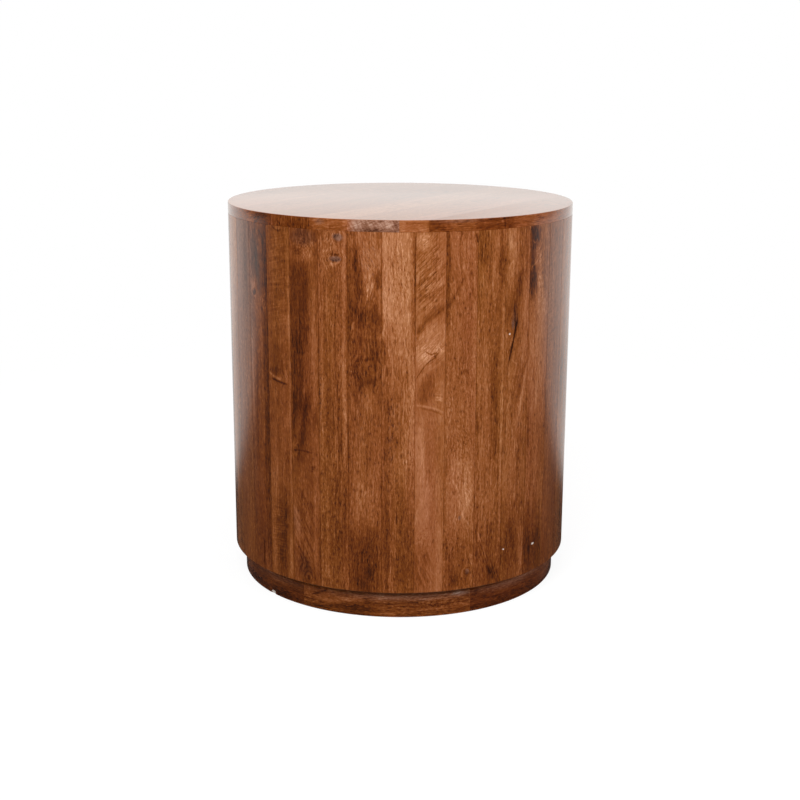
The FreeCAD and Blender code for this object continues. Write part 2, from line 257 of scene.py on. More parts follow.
CLOUDS = 0.14
SHORT_MARKS = 0.34
PORE_GREY = 0.1
CURL = 1.8 * MM
PATCH_REACH = 1.15
KNOT_RING = 1.1
KNOT_SHADE = -0.16

LACQUER_ROUGHNESS = 0.22
LACQUER_IOR = 1.5
WOOD_SHEEN = 0.1
FIBRE_ROUGHNESS = 0.3
FIBRE_HEIGHT = 0.10 * MM
SWELL_HEIGHT = 0.12 * MM
SWELL_FIBRES = 0.02


class Wood:
    """The lacquered wood of one piece: its grain, and what is drawn into it.

    The sheet is a vector in metres: across the grain, along it, and under the face. Places are given in the
    piece's own terms and turned into metres by locate. Sizes are in millimetres, across the grain first.
    """

    def __init__(self, material, sheet, seed, locate):
        self.material = material
        self.tree = sheet.tree
        self.sheet = self.flow = sheet
        self.across, self.along, self.depth = parts_of(sheet)
        self.origin = Vector((seed * 0.37, seed * 1.91, seed * 0.73))
        self.locate = locate
        self.tone = self.gold = self.grey = self.raw = self.crack_shade = None

    def cells(self, width, length, detail=2, roughness=0.5, rise=90, shift=0.0, bent=True):
        """Noise from 0 to 1 in cells whose length rises at an angle, 90 along the grain."""
        place = self.origin * (1.0 + shift)
        size = (width * MM, length * MM, width * MM)
        return noise(local(self.flow if bent else self.sheet, place, size, rise - 90), detail, roughness)

    def from_place(self, at, size, turn=0.0):
        """The way from a place, in units of a size."""
        return local(self.sheet, (*self.locate(at), 0.0), (size[0] * MM, size[1] * MM, 1.0), turn)

    def push(self, sideways):
        """Moves the grain sideways by a signal in metres."""
        entries = {0: self.flow, 1: vector_of(self.tree, sideways, 0.0, 0.0)}
        self.flow = output_of(self.tree, "VectorMath", entries, operation="ADD")

    def bend_round(self, at, size, strength=0.8):
        """Lets the grain flow round a place, as it does round a knot."""
        here = self.from_place(at, size)
        self.push(parts_of(here)[0] * length_of(here).bell() * (-strength * size[0] * MM))

    def sway(self, width, length):
        """Lets the grain wander from side to side by a width, over a length."""
        wander = self.cells(length * 0.7, length, 1, 0.4, shift=0.17, bent=False)
        self.push(wander.times_plus(4 * width * MM, -2 * width * MM))
        curl = self.cells(*CURL_CELLS, shift=0.23, bent=False)
        self.push(curl.times_plus(2 * CURL, -CURL))

    def paint(self, mask, amount, grey=0.0):
        """Lightens or darkens the wood where the mask is 1, and may grey it."""
        self.tone = mask.times_plus(amount, self.tone)
        if grey:
            self.grey = mask.times_plus(grey, self.grey)

    def grain(self, tone, contrast=1, bands=0.2, streaks=0.45, fibres=0.8, pores=0.18, rise=90, gold=0.5):
        """Lays the plain grain: wide bands, streaks, clouds, short marks, fibres and open pores."""
        self.rag = self.cells(*RAG_CELLS, shift=0.31) - 0.5
        self.fibres = self.cells(*FIBRE_CELLS, rise, 0.43)
        specks = self.cells(*PORE_CELLS, rise, 0.59)
        self.pits = specks.smooth(0.57, 0.70)
        layers = (
            (self.cells(*BAND_CELLS, rise, 0.71), bands * contrast),
            (self.cells(*STREAK_CELLS, rise, 0.83), streaks * contrast),
            (self.cells(*CLOUD_CELLS, rise, 0.97), CLOUDS * contrast),
            (self.cells(*SHORT_CELLS, rise, 1.07), SHORT_MARKS * contrast),
        )
        middle = tone - sum(amount for _, amount in layers) / 2
        lively = self.cells(*LIVELY_CELLS, shift=0.37).smooth(0.32, 0.64).times_plus(0.75, 0.45)
        self.tone = ((self.fibres - 0.5) * lively).times_plus(fibres * contrast, middle)
        for layer, amount in layers:
            self.paint(layer, amount)
        self.paint(self.pits, -pores * contrast)
        self.paint(specks.smooth(0.43, 0.30), pores * contrast * 0.8)
        self.gold = self.cells(*GOLD_CELLS, shift=1.13).times_plus(1.2, gold - 0.6)
        self.grey = self.pits * PORE_GREY

    def spot(self, at, size, turn=0.0, torn=0.9, soft=1.0):
        """1 in the middle of an ellipse, 0 from its edge on. Soft is the share of the radius that fades."""
        far = self.rag.times_plus(torn, length_of(self.from_place(at, size, turn)))
        return far.smooth(PATCH_REACH, PATCH_REACH - soft)

    def shade(self, at, size, amount, turn=0.0, torn=0.9, soft=1.0, grey=0.0):
        """Darkens or lightens a patch, and may grey it."""
        self.paint(self.spot(at, size, turn, torn, soft), amount, grey)

    def strip(self, left, right, low, high, amount, side=3, end=25, torn=6):
        """Darkens or lightens a column between two sides and two heights, with soft sides and ends."""
        x0, y0 = self.locate((left, low))
        x1, y1 = self.locate((right, high))
        x = self.rag.times_plus(torn * MM, self.across)
        y = self.rag.times_plus(torn * 4 * MM, self.along)
        side, end = side * MM, end * MM
        mask = x.smooth(x0 - side, x0 + side) * x.smooth(x1 + side, x1 - side)
        self.paint(mask * y.smooth(y0 - end, y0 + end) * y.smooth(y1 + end, y1 - end), amount)

    def vein(self, first, second, third, width, amount, fade=10, torn=2, level=False):
        """Draws a curved streak through three places. It fades at both ends."""
        places = [self.locate(place) for place in (first, second, third)]
        run, side = self.along, self.across
        if level:
            places = [(y, x) for x, y in places]
            run, side = side, run
        (x0, y0), (x1, y1), (x2, y2) = sorted(places, key=lambda place: place[1])
        slope = (x1 - x0) / (y1 - y0)
        bend = ((x2 - x0) / (y2 - y0) - slope) / (y2 - y1)
        rate = run.times_plus(bend, slope - bend * (y0 + y1))
        line = rate.times_plus(run, x0 - slope * y0 + bend * y0 * y1)
        away = self.rag.times_plus(torn * MM, side - line)
        reach = run.smooth(y0, y0 + fade * MM) * run.smooth(y2, y2 - fade * MM)
        self.paint((away / (width * MM)).bell() * reach, amount)

    def level_vein(self, first, second, third, width, amount, fade=10, torn=2):
        """Draws a streak that runs across the grain."""
        self.vein(first, second, third, width, amount, fade, torn, level=True)

    def ripple(self, at, size, spacing, amount, rise=45, torn=0.9, stretch=5, soft=0.6):
        """Draws the light and dark stripes of curled grain over a patch, rising at an angle."""
        stripes = self.cells(spacing * 0.6, spacing * stretch, 2, 0.5, rise, at[1] * 0.01, bent=False)
        waves = stripes.smooth(0.34, 0.66).times_plus(2.0, -1.0)
        self.paint(waves * self.spot(at, size, 0.0, torn, soft), amount)

    def flecks(self, at, size, amount, width=1.5, length=6, rise=90, share=0.5, torn=0.9, grey=0.0):
        """Scatters short strokes over a patch. A larger share leaves fewer of them."""
        strokes = self.cells(width, length, 2, 0.6, rise, at[1] * 0.013, bent=False)
        self.paint(strokes.smooth(share, share + 0.13) * self.spot(at, size, 0.0, torn), amount, grey)

    def rings(self, at, size, spacing, amount, torn=0.6, centre=None, wobble=7):
        """Draws nested lines round a place, over a patch."""
        far = length_of(self.from_place(centre or at, size))
        waves = self.rag.times_plus(wobble, far * (2 * math.pi * size[0] / spacing))
        self.paint(waves.math("SINE").smooth(-0.4, 1.0) * self.spot(at, size, 0.0, torn), amount)

    def eye(self, at, size, core=-0.16, grey=0.5):
        """Draws a small knot: a greyish core in a dark ring."""
        far = self.rag.times_plus(0.9, length_of(self.from_place(at, size)))
        self.paint(((far - KNOT_RING) * 3.2).bell(), KNOT_SHADE)
        self.paint(far.smooth(1.0, 0.6), core, grey)

    def chip(self, at, size):
        """Bares pale raw wood in a small ragged spot."""
        far = length_of(self.from_place(at, size))
        ragged = self.cells(*CHIP_CELLS, shift=0.4, bent=False)
        spot = ragged.times_plus(1.2, far - 0.6).smooth(1.0, 0.6)
        self.raw = spot if self.raw is None else self.raw.math("MAXIMUM", spot)

    def edge(self, place, width, amount):
        """Darkens a line at a place across the grain, such as a glue line."""
        self.paint(((self.across - place) / (width * MM)).bell(), amount)

    def blend_in(self, other, mask):
        """Takes the tones of another drawing where the mask is 1."""
        self.tone = mask.times_plus(other.tone - self.tone, self.tone)
        self.gold = mask.times_plus(other.gold - self.gold, self.gold)
        self.grey = mask.times_plus(other.grey - self.grey, self.grey)

    def color(self):
        """The tone as a colour, with the bare chips and the painted shade inside a crack."""
        gold = self.gold.math("MAXIMUM", 0.0).math("MINIMUM", 1.0)
        grey = self.grey.math("MAXIMUM", 0.0).math("MINIMUM", 1.0)
        color = mixed_color(gold, ramp(self.tone, RED_TONES), ramp(self.tone, GOLD_TONES))
        color = mixed_color(grey, color, ramp(self.tone, GREY_TONES))
        if self.raw is not None:
            color = mixed_color(self.raw, color, RAW_WOOD)
        if self.crack_shade is not None:
            color = mixed_color(self.crack_shade, color, CRACK_SHADE_COLOR)
        return color

    def finish(self, shader, lacquer=LACQUER_ROUGHNESS, sheen=WOOD_SHEEN, roughness=0.4, relief=1.0):
        """Lays the colour and the lacquer.

        Lacquer and roughness are how rough the lacquer and the wood are, sheen is the wood's own gloss, and
        relief is how far the fibres show in both.
        """
        entries = {
            "Base Color": self.color(),
            "Roughness": self.fibres.times_plus(FIBRE_ROUGHNESS * relief, roughness),
            "Specular IOR Level": sheen,
            "Coat Weight": 1.0,
            "Coat Roughness": lacquer,
            "Coat IOR": LACQUER_IOR,
        }
        for entry, value in entries.items():
            plug(self.tree, shader.inputs[entry], value)
        bump(self.tree, shader, "Normal", self.fibres * 0.5 - self.pits, FIBRE_HEIGHT * relief, 0.5)
        swell = self.cells(*SWELL_CELLS, shift=1.3, bent=False)
        height = self.fibres.times_plus(SWELL_FIBRES, swell - self.pits * SWELL_FIBRES)
        bump(self.tree, shader, "Coat Normal", height, SWELL_HEIGHT * relief, 1.0)
        return self.material


def each(draw, *marks):
    """Draws marks of one kind. Each mark holds what the drawing function asks for, in its order."""
    for mark in marks:
        draw(*mark)


def round_places(tree, middle, radius):
    """How far round a face from a front angle in radians, how high, and how deep under the face."""
    x, y, z = parts_of(turned_position(tree, -math.degrees(middle)))
    return x.math("ARCTAN2", y * -1.0) * radius, z, radius - (x * x + y * y).math("SQRT")


def upright_sheet(tree, middle, radius):
    """Grain that stands upright on a round face."""
    return vector_of(tree, *round_places(tree, middle, radius))


def level_sheet(tree, middle, radius):
    """Grain that runs level round a curved face. Across the grain is up."""
    along, across, depth = round_places(tree, middle, radius)
    return vector_of(tree, across, along, depth)


def flat_sheet(tree, turn, middle, height):
    """Grain of a level board whose middle line lies so far from the axis, turned by degrees from +X."""
    x, y, z = parts_of(turned_position(tree, -turn))
    return vector_of(tree, y - middle, x, height - z)


# Meshes: every rebuilt piece is a loft of closed loops.

SHARP_ANGLE = math.radians(32.0)
WELD = 1e-6


def add_object(name, data):
    item = bpy.data.objects.new(name, data)
    bpy.context.scene.collection.objects.link(item)
    return item


def loft(name, loops):
    """A closed mesh through loops that have the same number of points, with both ends capped."""
    count = len(loops[0])
    points = [point for loop in loops for point in loop]
    faces = []
    for row in range(len(loops) - 1):
        start, following = row * count, (row + 1) * count
        for index in range(count):
            after = (index + 1) % count
            faces.append((start + index, start + after, following + after, following + index))
    faces.append(tuple(reversed(range(count))))
    faces.append(tuple(range(len(points) - count, len(points))))
    mesh = bpy.data.meshes.new(name)
    mesh.from_pydata(points, [], faces)
    clean_mesh(mesh)
    return add_object(name, mesh)


def clean_mesh(mesh):
    """Welds doubled points, turns all faces outwards, and keeps the caps flat and the sharp edges sharp."""
    work = bmesh.new()
    work.from_mesh(mesh)
    bmesh.ops.remove_doubles(work, verts=work.verts, dist=WELD)
    bmesh.ops.recalc_face_normals(work, faces=work.faces)
    work.to_mesh(mesh)
    work.free()
    mesh.polygons.foreach_set("use_smooth", [len(face.vertices) <= 4 for face in mesh.polygons])
    mesh.set_sharp_from_angle(angle=SHARP_ANGLE)


def polar(radius, angle, height):
    """A point at a front angle."""
    return Vector((radius * math.sin(angle), -radius * math.cos(angle), height))


def rounded(radius, height, rounding, steps):
    """The radius and the height of each step up a rounded outer edge."""
    turns = [math.pi / 2 * step / steps for step in range(steps + 1)]
    offsets = [(rounding * (1 - math.cos(turn)), rounding * (1 - math.sin(turn))) for turn in turns]
    return [(radius - inward, height - down) for inward, down in offsets]


def nodes_called(start):
    return sorted(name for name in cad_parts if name.startswith(start))


def points_of(node):
    return [vertex.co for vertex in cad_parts[node].data.vertices]


def span_of(node):
    """The middle front angle of a curved piece and half of the angle that it spans, from its node."""
    points = points_of(node)
    middle = sum(points, Vector((0, 0, 0)))
    turn = math.atan2(middle.x, -middle.y)
    rotate = Matrix.Rotation(-turn, 3, "Z")
    angles = [math.atan2(point.x, -point.y) for point in (rotate @ point for point in points)]
    return turn + (max(angles) + min(angles)) / 2, (max(angles) - min(angles)) / 2


def take_place(piece, node, material):
    """Puts a rebuilt piece in the place of its node."""
    piece.data.materials.append(material)
    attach(piece, BODY)
    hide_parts(node)


# The staves.

STAVE_COLUMNS = 12
STAVE_BACK_COLUMNS = 4
STAVE_EDGE = 0.25 * MM
STAVE_THICKNESS = 18 * MM
STAVE_FOOT_EASE = 0.8 * MM
STAVE_HEAD_EASE = 0.4 * MM
REBATE_HEIGHT = 12 * MM
REBATE_DEPTH = 6 * MM
CRACK_ANGLE = math.radians(-50.35)
CRACK_HEIGHT = 44 * MM
CRACK_WIDTH = 1.5 * MM
CRACK_DEPTH = 5 * MM
CRACK_ROWS = 6
# How deep under the face the crack's painted shade starts and where it is full.
CRACK_SHADE_DEPTHS = (0.5 * MM, 1.4 * MM)
SEAM_WIDTH = 0.7
SEAM_SHADE = -0.10


def stave_loop(middle, half, height, outer, rebated, opening):
    """The outline of a stave at one height. A crack opens from 0 to 1, and None is a sound stave."""
    inner = DRUM_RADIUS - STAVE_THICKNESS
    side = half - STAVE_EDGE / DRUM_RADIUS
    turns = [side * (2 * column / STAVE_COLUMNS - 1) for column in range(STAVE_COLUMNS + 1)]
    radii = [outer] * len(turns)
    if opening is not None:
        lip = CRACK_WIDTH / 2 / DRUM_RADIUS * opening
        place = CRACK_ANGLE - middle
        nearest = min(range(len(turns)), key=lambda column: abs(turns[column] - place))
        turns[nearest : nearest + 1] = [place - lip, place, place + lip]
        radii[nearest : nearest + 1] = [outer, outer - CRACK_DEPTH * opening, outer]
    loop = [polar(radius, middle + turn, height) for radius, turn in zip(radii, turns)]
    loop.append(polar(outer - STAVE_EDGE, middle + half, height))
    for column in range(STAVE_BACK_COLUMNS + 1):
        turn = half * (1 - 2 * column / STAVE_BACK_COLUMNS)
        radius = inner + REBATE_DEPTH if rebated else inner / math.cos(turn)
        loop.append(polar(radius, middle + turn, height))
    loop.append(polar(outer - STAVE_EDGE, middle - half, height))
    return loop


def stave_mesh(node):
    """One stave with a flat back, rebated inside at both ends, with eased ends and edges."""
    low, high = (corner.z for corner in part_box(node))
    middle, half = span_of(node)
    cracked = abs(CRACK_ANGLE - middle) < half
    rows = [(low, DRUM_RADIUS - STAVE_FOOT_EASE, True), (low + STAVE_FOOT_EASE, DRUM_RADIUS, True)]
    rows += [(low + REBATE_HEIGHT, DRUM_RADIUS, True), (low + REBATE_HEIGHT, DRUM_RADIUS, False)]
    if cracked:
        heights = [low + CRACK_HEIGHT * (row + 2) / (CRACK_ROWS + 1) for row in range(CRACK_ROWS)]
        rows += [(height, DRUM_RADIUS, False) for height in heights]
    rows += [(high - REBATE_HEIGHT, DRUM_RADIUS, False), (high - REBATE_HEIGHT, DRUM_RADIUS, True)]
    rows += [(high - STAVE_HEAD_EASE, DRUM_RADIUS, True), (high, DRUM_RADIUS - STAVE_HEAD_EASE, True)]
    loops = []
    for height, outer, rebated in rows:
        opening = max(0.0, 1 - (height - low) / CRACK_HEIGHT) if cracked else None
        loops.append(stave_loop(middle, half, height, outer, rebated, opening))
    return loft(f"{node}_wood", loops), middle, half


def on_drum(middle, radius=DRUM_RADIUS):
    """Turns a front angle in degrees and a height in millimetres into metres on a piece of the drum."""
    return lambda at: ((math.radians(at[0]) - middle) * radius, at[1] * MM)


# The drawings. A front stave's marks have their places as front angles in degrees and heights in millimetres.


def draw_stave_36(wood):
    wood.sway(2, 200)
    wood.grain(0.42, 0.8)
    wood.shade((-59, 440), (9, 60), -0.12)
    # A grey veil near the drum's edge, strong high up and fading lower down: painted reflection of the pale
    # surroundings.
    wood.shade((-61, 450), (60, 150), 0, grey=0.45)
    wood.shade((-61, 230), (60, 160), 0, grey=0.12)


def draw_stave_01(wood):
    wood.bend_round((-53.3, 402), (9, 15))
    wood.sway(2, 220)
    wood.grain(0.38, 0.8, gold=0.4)
    each(wood.shade, ((-50, 460), (5, 12), 0.06), ((-54, 408), (7, 12), 0.22),
         ((-49.2, 381), (3, 4), -0.16), ((-52, 90), (14, 60), -0.06))
    wood.shade((-52.6, 450), (13, 40), -0.16, grey=0.45)
    wood.shade((-51, 425), (6, 40), -0.12, turn=6, grey=0.4)
    # A grey veil near the drum's edge, strong high up and fading lower down: painted reflection of the pale
    # surroundings.
    wood.shade((-56, 400), (16, 130), 0, grey=0.4)
    wood.shade((-56, 220), (16, 160), 0, grey=0.15)
    each(wood.strip, (-50.6, -46.6, 400, 486, -0.1, 3, 16), (-48.8, -45.9, 60, 500, -0.1))
    each(wood.vein, ((-50.6, 438), (-47.8, 458), (-50.4, 480), 1.8, -0.12, 5),
         ((-46.9, 120), (-46.8, 250), (-46.6, 380), 1.6, -0.1, 60),
         ((-49.2, 190), (-49.2, 300), (-49.6, 380), 3, 0.08, 50),
         ((-55.6, 200), (-55.2, 300), (-55, 380), 3, 0.14, 50),
         ((-52.4, 160), (-52.6, 260), (-52.2, 350), 2, -0.12, 50),
         ((-50.6, 40), (-50.5, 60), (-50.3, 84), 1.5, -0.2, 9))
    wood.level_vein((-54.8, 399), (-53.6, 395), (-52.3, 396), 1.6, 0.2, 2)
    wood.flecks((-48, 392), (7, 18), 0.2, 1.4, 5, 70, 0.46)
    wood.eye((-53.4, 400), (3, 3.4))
    # Painted shade: the inside of the crack darkens to near black with depth.
    wood.crack_shade = wood.depth.smooth(*CRACK_SHADE_DEPTHS)


def draw_stave_02(wood):
    wood.bend_round((-41, 297), (16, 9), 0.6)
    wood.sway(2, 170)
    wood.grain(0.43, 0.8, fibres=0.5, pores=0.16, gold=0.6)
    wood.ripple((-41, 420), (22, 75), 6, 0.06, rise=14, torn=0.5)
    wood.ripple((-42.4, 96), (14, 50), 3.4, 0.06, rise=6, torn=0.5)
    each(wood.shade, ((-37, 366), (6, 24), 0.13), ((-45.2, 290), (4, 5), 0.1),
         ((-38.2, 303), (4, 12), 0.1), ((-43, 277), (7, 9), 0.08), ((-44.6, 246), (7, 8), -0.09),
         ((-37.8, 246), (6, 12), 0.09), ((-43.3, 176), (9, 38), 0.1), ((-38.6, 108), (5, 5), -0.16),
         ((-41.6, 62), (9, 26), -0.07))
    wood.shade((-42.6, 306), (11, 7), -0.09, soft=0.8)
    wood.shade((-38.4, 196), (5, 16), -0.12, turn=-8)
    wood.shade((-38.8, 126), (4, 12), -0.12, turn=-10)
    # The strip from -46.5 to -35.5 degrees darkens the whole foot: painted shade, where the light falls off
    # towards the floor.
    each(wood.strip, (-37, -36, 130, 486, 0.1, 1.5, 30, 2), (-44.3, -39, 304, 342, -0.1, 5, 12),
         (-46, -43.9, 44, 170, 0.08, 2, 30), (-42.2, -38.6, 40, 150, -0.12, 5),
         (-46.5, -35.5, 30, 150, -0.03, 5, 50), (-37.9, -36.4, 40, 96, 0.13, 2, 8))
    wood.vein((-39.4, 180), (-39.1, 195), (-37.6, 206), 1.3, 0.1, 5)
    each(wood.level_vein, ((-43.6, 486), (-41.5, 481), (-39, 483), 1.4, -0.2, 3),
         ((-46.1, 304), (-43, 299), (-40, 297), 1.8, 0.2, 3),
         ((-45, 297), (-41.5, 294), (-37.4, 292.6), 1.4, -0.3, 4))


def draw_stave_03(wood):
    wood.bend_round((-30.2, 47), (13, 15), 0.9)
    wood.bend_round((-35, 211), (8, 8), 0.8)
    wood.sway(2, 180)
    wood.grain(0.39, 0.7, gold=0.4, streaks=0.55)
    wood.rings((-30.5, 462), (22, 22), 3.4, 0.08, centre=(-33, 446), wobble=4)
    wood.rings((-31, 54), (16, 22), 4.5, -0.12, centre=(-30.2, 47))
    wood.ripple((-32, 112), (20, 62), 4, 0.09, rise=-62, torn=0.6)
    each(wood.shade, ((-29, 452), (12, 9), 0.12), ((-27, 255), (6, 24), -0.15),
         ((-32.6, 203), (10, 12), -0.12), ((-32.8, 152), (5, 12), -0.1), ((-30.2, 47), (3, 3.4), -0.22))
    wood.shade((-31, 476), (20, 13), -0.12, soft=0.7, grey=0.2)
    wood.shade((-33, 460), (9, 7), -0.16, turn=-20)
    wood.shade((-27.5, 469), (6, 4), 0.14, turn=-20)
    wood.shade((-35, 122), (10, 26), 0.09, turn=12, grey=0.12)
    wood.shade((-31.6, 60), (13, 20), -0.1, grey=0.1)
    each(wood.strip, (-35.9, -29.6, 344, 446, -0.13, 5, 12), (-36, -31.2, 258, 352, -0.16, 4, 16),
         (-28.3, -25.9, 215, 425, 0.13, 4, 30), (-27.9, -26.1, 115, 205, 0.13, 2.5, 20),
         (-28.6, -26.4, 60, 100, 0.12, 4, 12))
    each(wood.vein, ((-29.4, 355), (-30.2, 400), (-29.2, 440), 5, -0.05, 20),
         ((-33.2, 205), (-31.4, 245), (-29.4, 292), 6.5, -0.21, 16),
         ((-33.6, 232), (-31.9, 262), (-30.9, 296), 1.6, 0.12),
         ((-35.9, 225), (-35.1, 252), (-34.4, 290), 4.5, -0.12, 16),
         ((-27.6, 300), (-27.9, 345), (-27.2, 400), 2.6, 0.08, 30),
         ((-35.4, 214), (-34.6, 218), (-33.6, 223), 1.6, 0.14, 3),
         ((-28.6, 60), (-30.6, 84), (-34, 108), 2.4, 0.07, 8))
    wood.level_vein((-36, 209.5), (-32, 212), (-27.8, 210), 1.1, -0.14, 4)
    each(wood.flecks, ((-30.5, 463), (22, 20), 0.16, 1.6, 6, 55, 0.48),
         ((-27.8, 191), (7, 6), -0.26, 5, 1.6, 90, 0.44))


def draw_stave_04(wood):
    wood.bend_round((-18.9, 478), (12, 9))
    wood.bend_round((-19.8, 453), (13, 8))
    wood.sway(1.5, 160)
    wood.grain(0.46, 1, gold=0.6)
    wood.rings((-21.5, 464), (18, 30), 3.2, 0.08, centre=(-19.4, 466), wobble=5)
    each(wood.shade, ((-21.5, 462), (17, 30), 0.03), ((-24.6, 480), (5, 6), -0.12),
         ((-22.8, 398), (9, 26), 0.09), ((-22, 60), (12, 16), 0.04))
    wood.shade((-19, 478.5), (7.6, 5.2), -0.09, soft=0.7, grey=0.6)
    wood.shade((-19.7, 452.8), (9, 4), -0.09, soft=0.7, grey=0.6)
    each(wood.strip, (-17.6, -16.5, 190, 486, 0.1, 1.5, 30, 2),
         (-16.4, -15.7, 190, 486, -0.08, 0.8, 30, 2), (-25.5, -24.2, 200, 410, 0.1, 2, 30),
         (-23.8, -19.6, 210, 330, -0.02, 6, 40), (-18.4, -16.3, 250, 350, 0.08),
         (-25.3, -22.2, 46, 180, 0.02, 5, 30), (-21.8, -16, 46, 190, -0.1, 5, 30))
    each(wood.vein, ((-17.6, 185), (-18.9, 250), (-19.4, 330), 3.6, -0.1, 40),
         ((-18.2, 92), (-18.3, 105), (-18.2, 118), 1, -0.18, 4))
    each(wood.level_vein, ((-21.8, 459.5), (-20.2, 457.5), (-18.2, 459), 1.6, -0.24, 3),
         ((-22, 447.6), (-19.8, 447), (-17.8, 450), 1.5, 0.18, 3))
    each(wood.flecks, ((-22.2, 462), (17, 30), 0.24, 1.2, 7, 62, 0.52),
         ((-23, 440), (12, 30), 0.14, 1.6, 8, 84, 0.52))
    wood.flecks((-25.3, 290), (2.6, 70), -0.22, 2, 4, 80, 0.46, torn=0.2, grey=0.3)


def draw_stave_05(wood):
    wood.bend_round((-9.5, 320), (15, 15), 0.7)
    wood.sway(2, 150)
    wood.grain(0.45, 0.85, gold=0.5)
    wood.rings((-9.4, 456), (17, 36), 3.4, 0.08, centre=(-19, 428), wobble=2.5)
    each(wood.shade, ((-14.2, 470), (5, 22), 0.06), ((-6.8, 433), (5, 15), -0.15),
         ((-9.2, 420), (9, 10), 0.12), ((-11.2, 385), (10, 12), -0.07), ((-9.6, 315), (16, 15), -0.06),
         ((-8.8, 280), (10, 16), 0.05), ((-8.6, 64), (8, 11), -0.14), ((-12, 50), (10, 12), -0.08))
    each(wood.strip, (-12.4, -5.3, 428, 492, 0.12, 6, 16), (-15.7, -12.4, 396, 458, -0.1, 4, 14),
         (-15.8, -5.8, 374, 403, -0.13, 4, 9), (-15.8, -7, 298, 372, -0.09, 6, 12),
         (-14, -6, 136, 200, 0.05, 6, 24), (-15.8, -5.5, 34, 112, -0.15, 6, 18))
    each(wood.vein, ((-11.4, 400), (-12.6, 440), (-14.8, 476), 5, -0.15, 14),
         ((-5.9, 385), (-6.1, 402), (-5.7, 425), 2, 0.18, 8),
         ((-14.1, 368), (-14.3, 374), (-13.9, 380), 1.2, 0.3, 3),
         ((-7.4, 322), (-6.9, 333), (-7.2, 346), 1.8, -0.18, 4))
    each(wood.level_vein, ((-12.2, 334), (-10.4, 333), (-7.4, 338), 1.6, -0.12, 3),
         ((-13.8, 295), (-10.8, 303), (-5.6, 311), 3, -0.1, 6),
         ((-14.5, 133), (-10, 120), (-5.4, 112), 6, -0.06, 8))
    each(wood.flecks, ((-9.4, 456), (15, 36), 0.15, 1.3, 8, 116), ((-13.2, 326), (9, 30), -0.16, 2.2, 5),
         ((-14.8, 330), (4, 50), 0.2, 1.3, 5, 90, 0.54), ((-13, 250), (9, 70), 0.18, 1.3, 13, 90, 0.52),
         ((-10.5, 165), (18, 50), 0.14, 1.3, 14, 90, 0.52),
         ((-10.5, 90), (18, 40), -0.16, 2, 8, 90, 0.54))
    wood.flecks((-9.4, 452), (15, 36), -0.16, 1.2, 6, 116, 0.53, grey=0.3)
    wood.flecks((-9.2, 416), (11, 26), 0.34, 1.3, 10, 78, 0.5, torn=0.6)
    wood.flecks((-12, 262), (9, 60), -0.2, 1, 9, 88, 0.56, grey=0.3)


def draw_stave_06(wood):
    wood.sway(1.5, 190)
    wood.grain(0.53, 0.95, gold=0.5)
    wood.shade((-1.7, 57), (3, 3.5), -0.18)
    # The strip from -5.4 to 4.8 degrees darkens the whole foot: painted shade, where the light falls off
    # towards the floor.
    each(wood.strip, (-5.3, 3.6, 372, 500, 0.17, 3, 26), (-1, 3.4, 330, 372, 0.08, 5, 22),
         (3.3, 4.4, 340, 490, -0.08, 1.5, 30, 2), (4.3, 4.9, 350, 470, -0.18, 0.8, 30, 4),
         (2.6, 4.6, 210, 345, 0.1, 3, 26), (-4.6, -0.2, 196, 300, -0.06, 4, 26),
         (-5.3, -3.2, 50, 300, -0.08, 3, 30), (-5.4, 4.8, 30, 150, -0.12, 6, 50),
         (-2, 4.6, 36, 190, -0.05, 6, 30))
    each(wood.vein, ((0.2, 378), (-0.1, 405), (0.3, 430), 1.6, -0.12, 14),
         ((-4.2, 325), (-4.9, 345), (-4.9, 362), 2.2, -0.2, 6),
         ((-4, 312), (-3.9, 320), (-4.2, 328), 1.6, -0.18, 4))
    wood.flecks((-0.6, 436), (16, 60), -0.2, 1.2, 3.6, 104, 0.51, torn=0.4)
    wood.flecks((-2.4, 245), (8, 55), -0.16, 2, 7, 92, 0.5, grey=0.2)


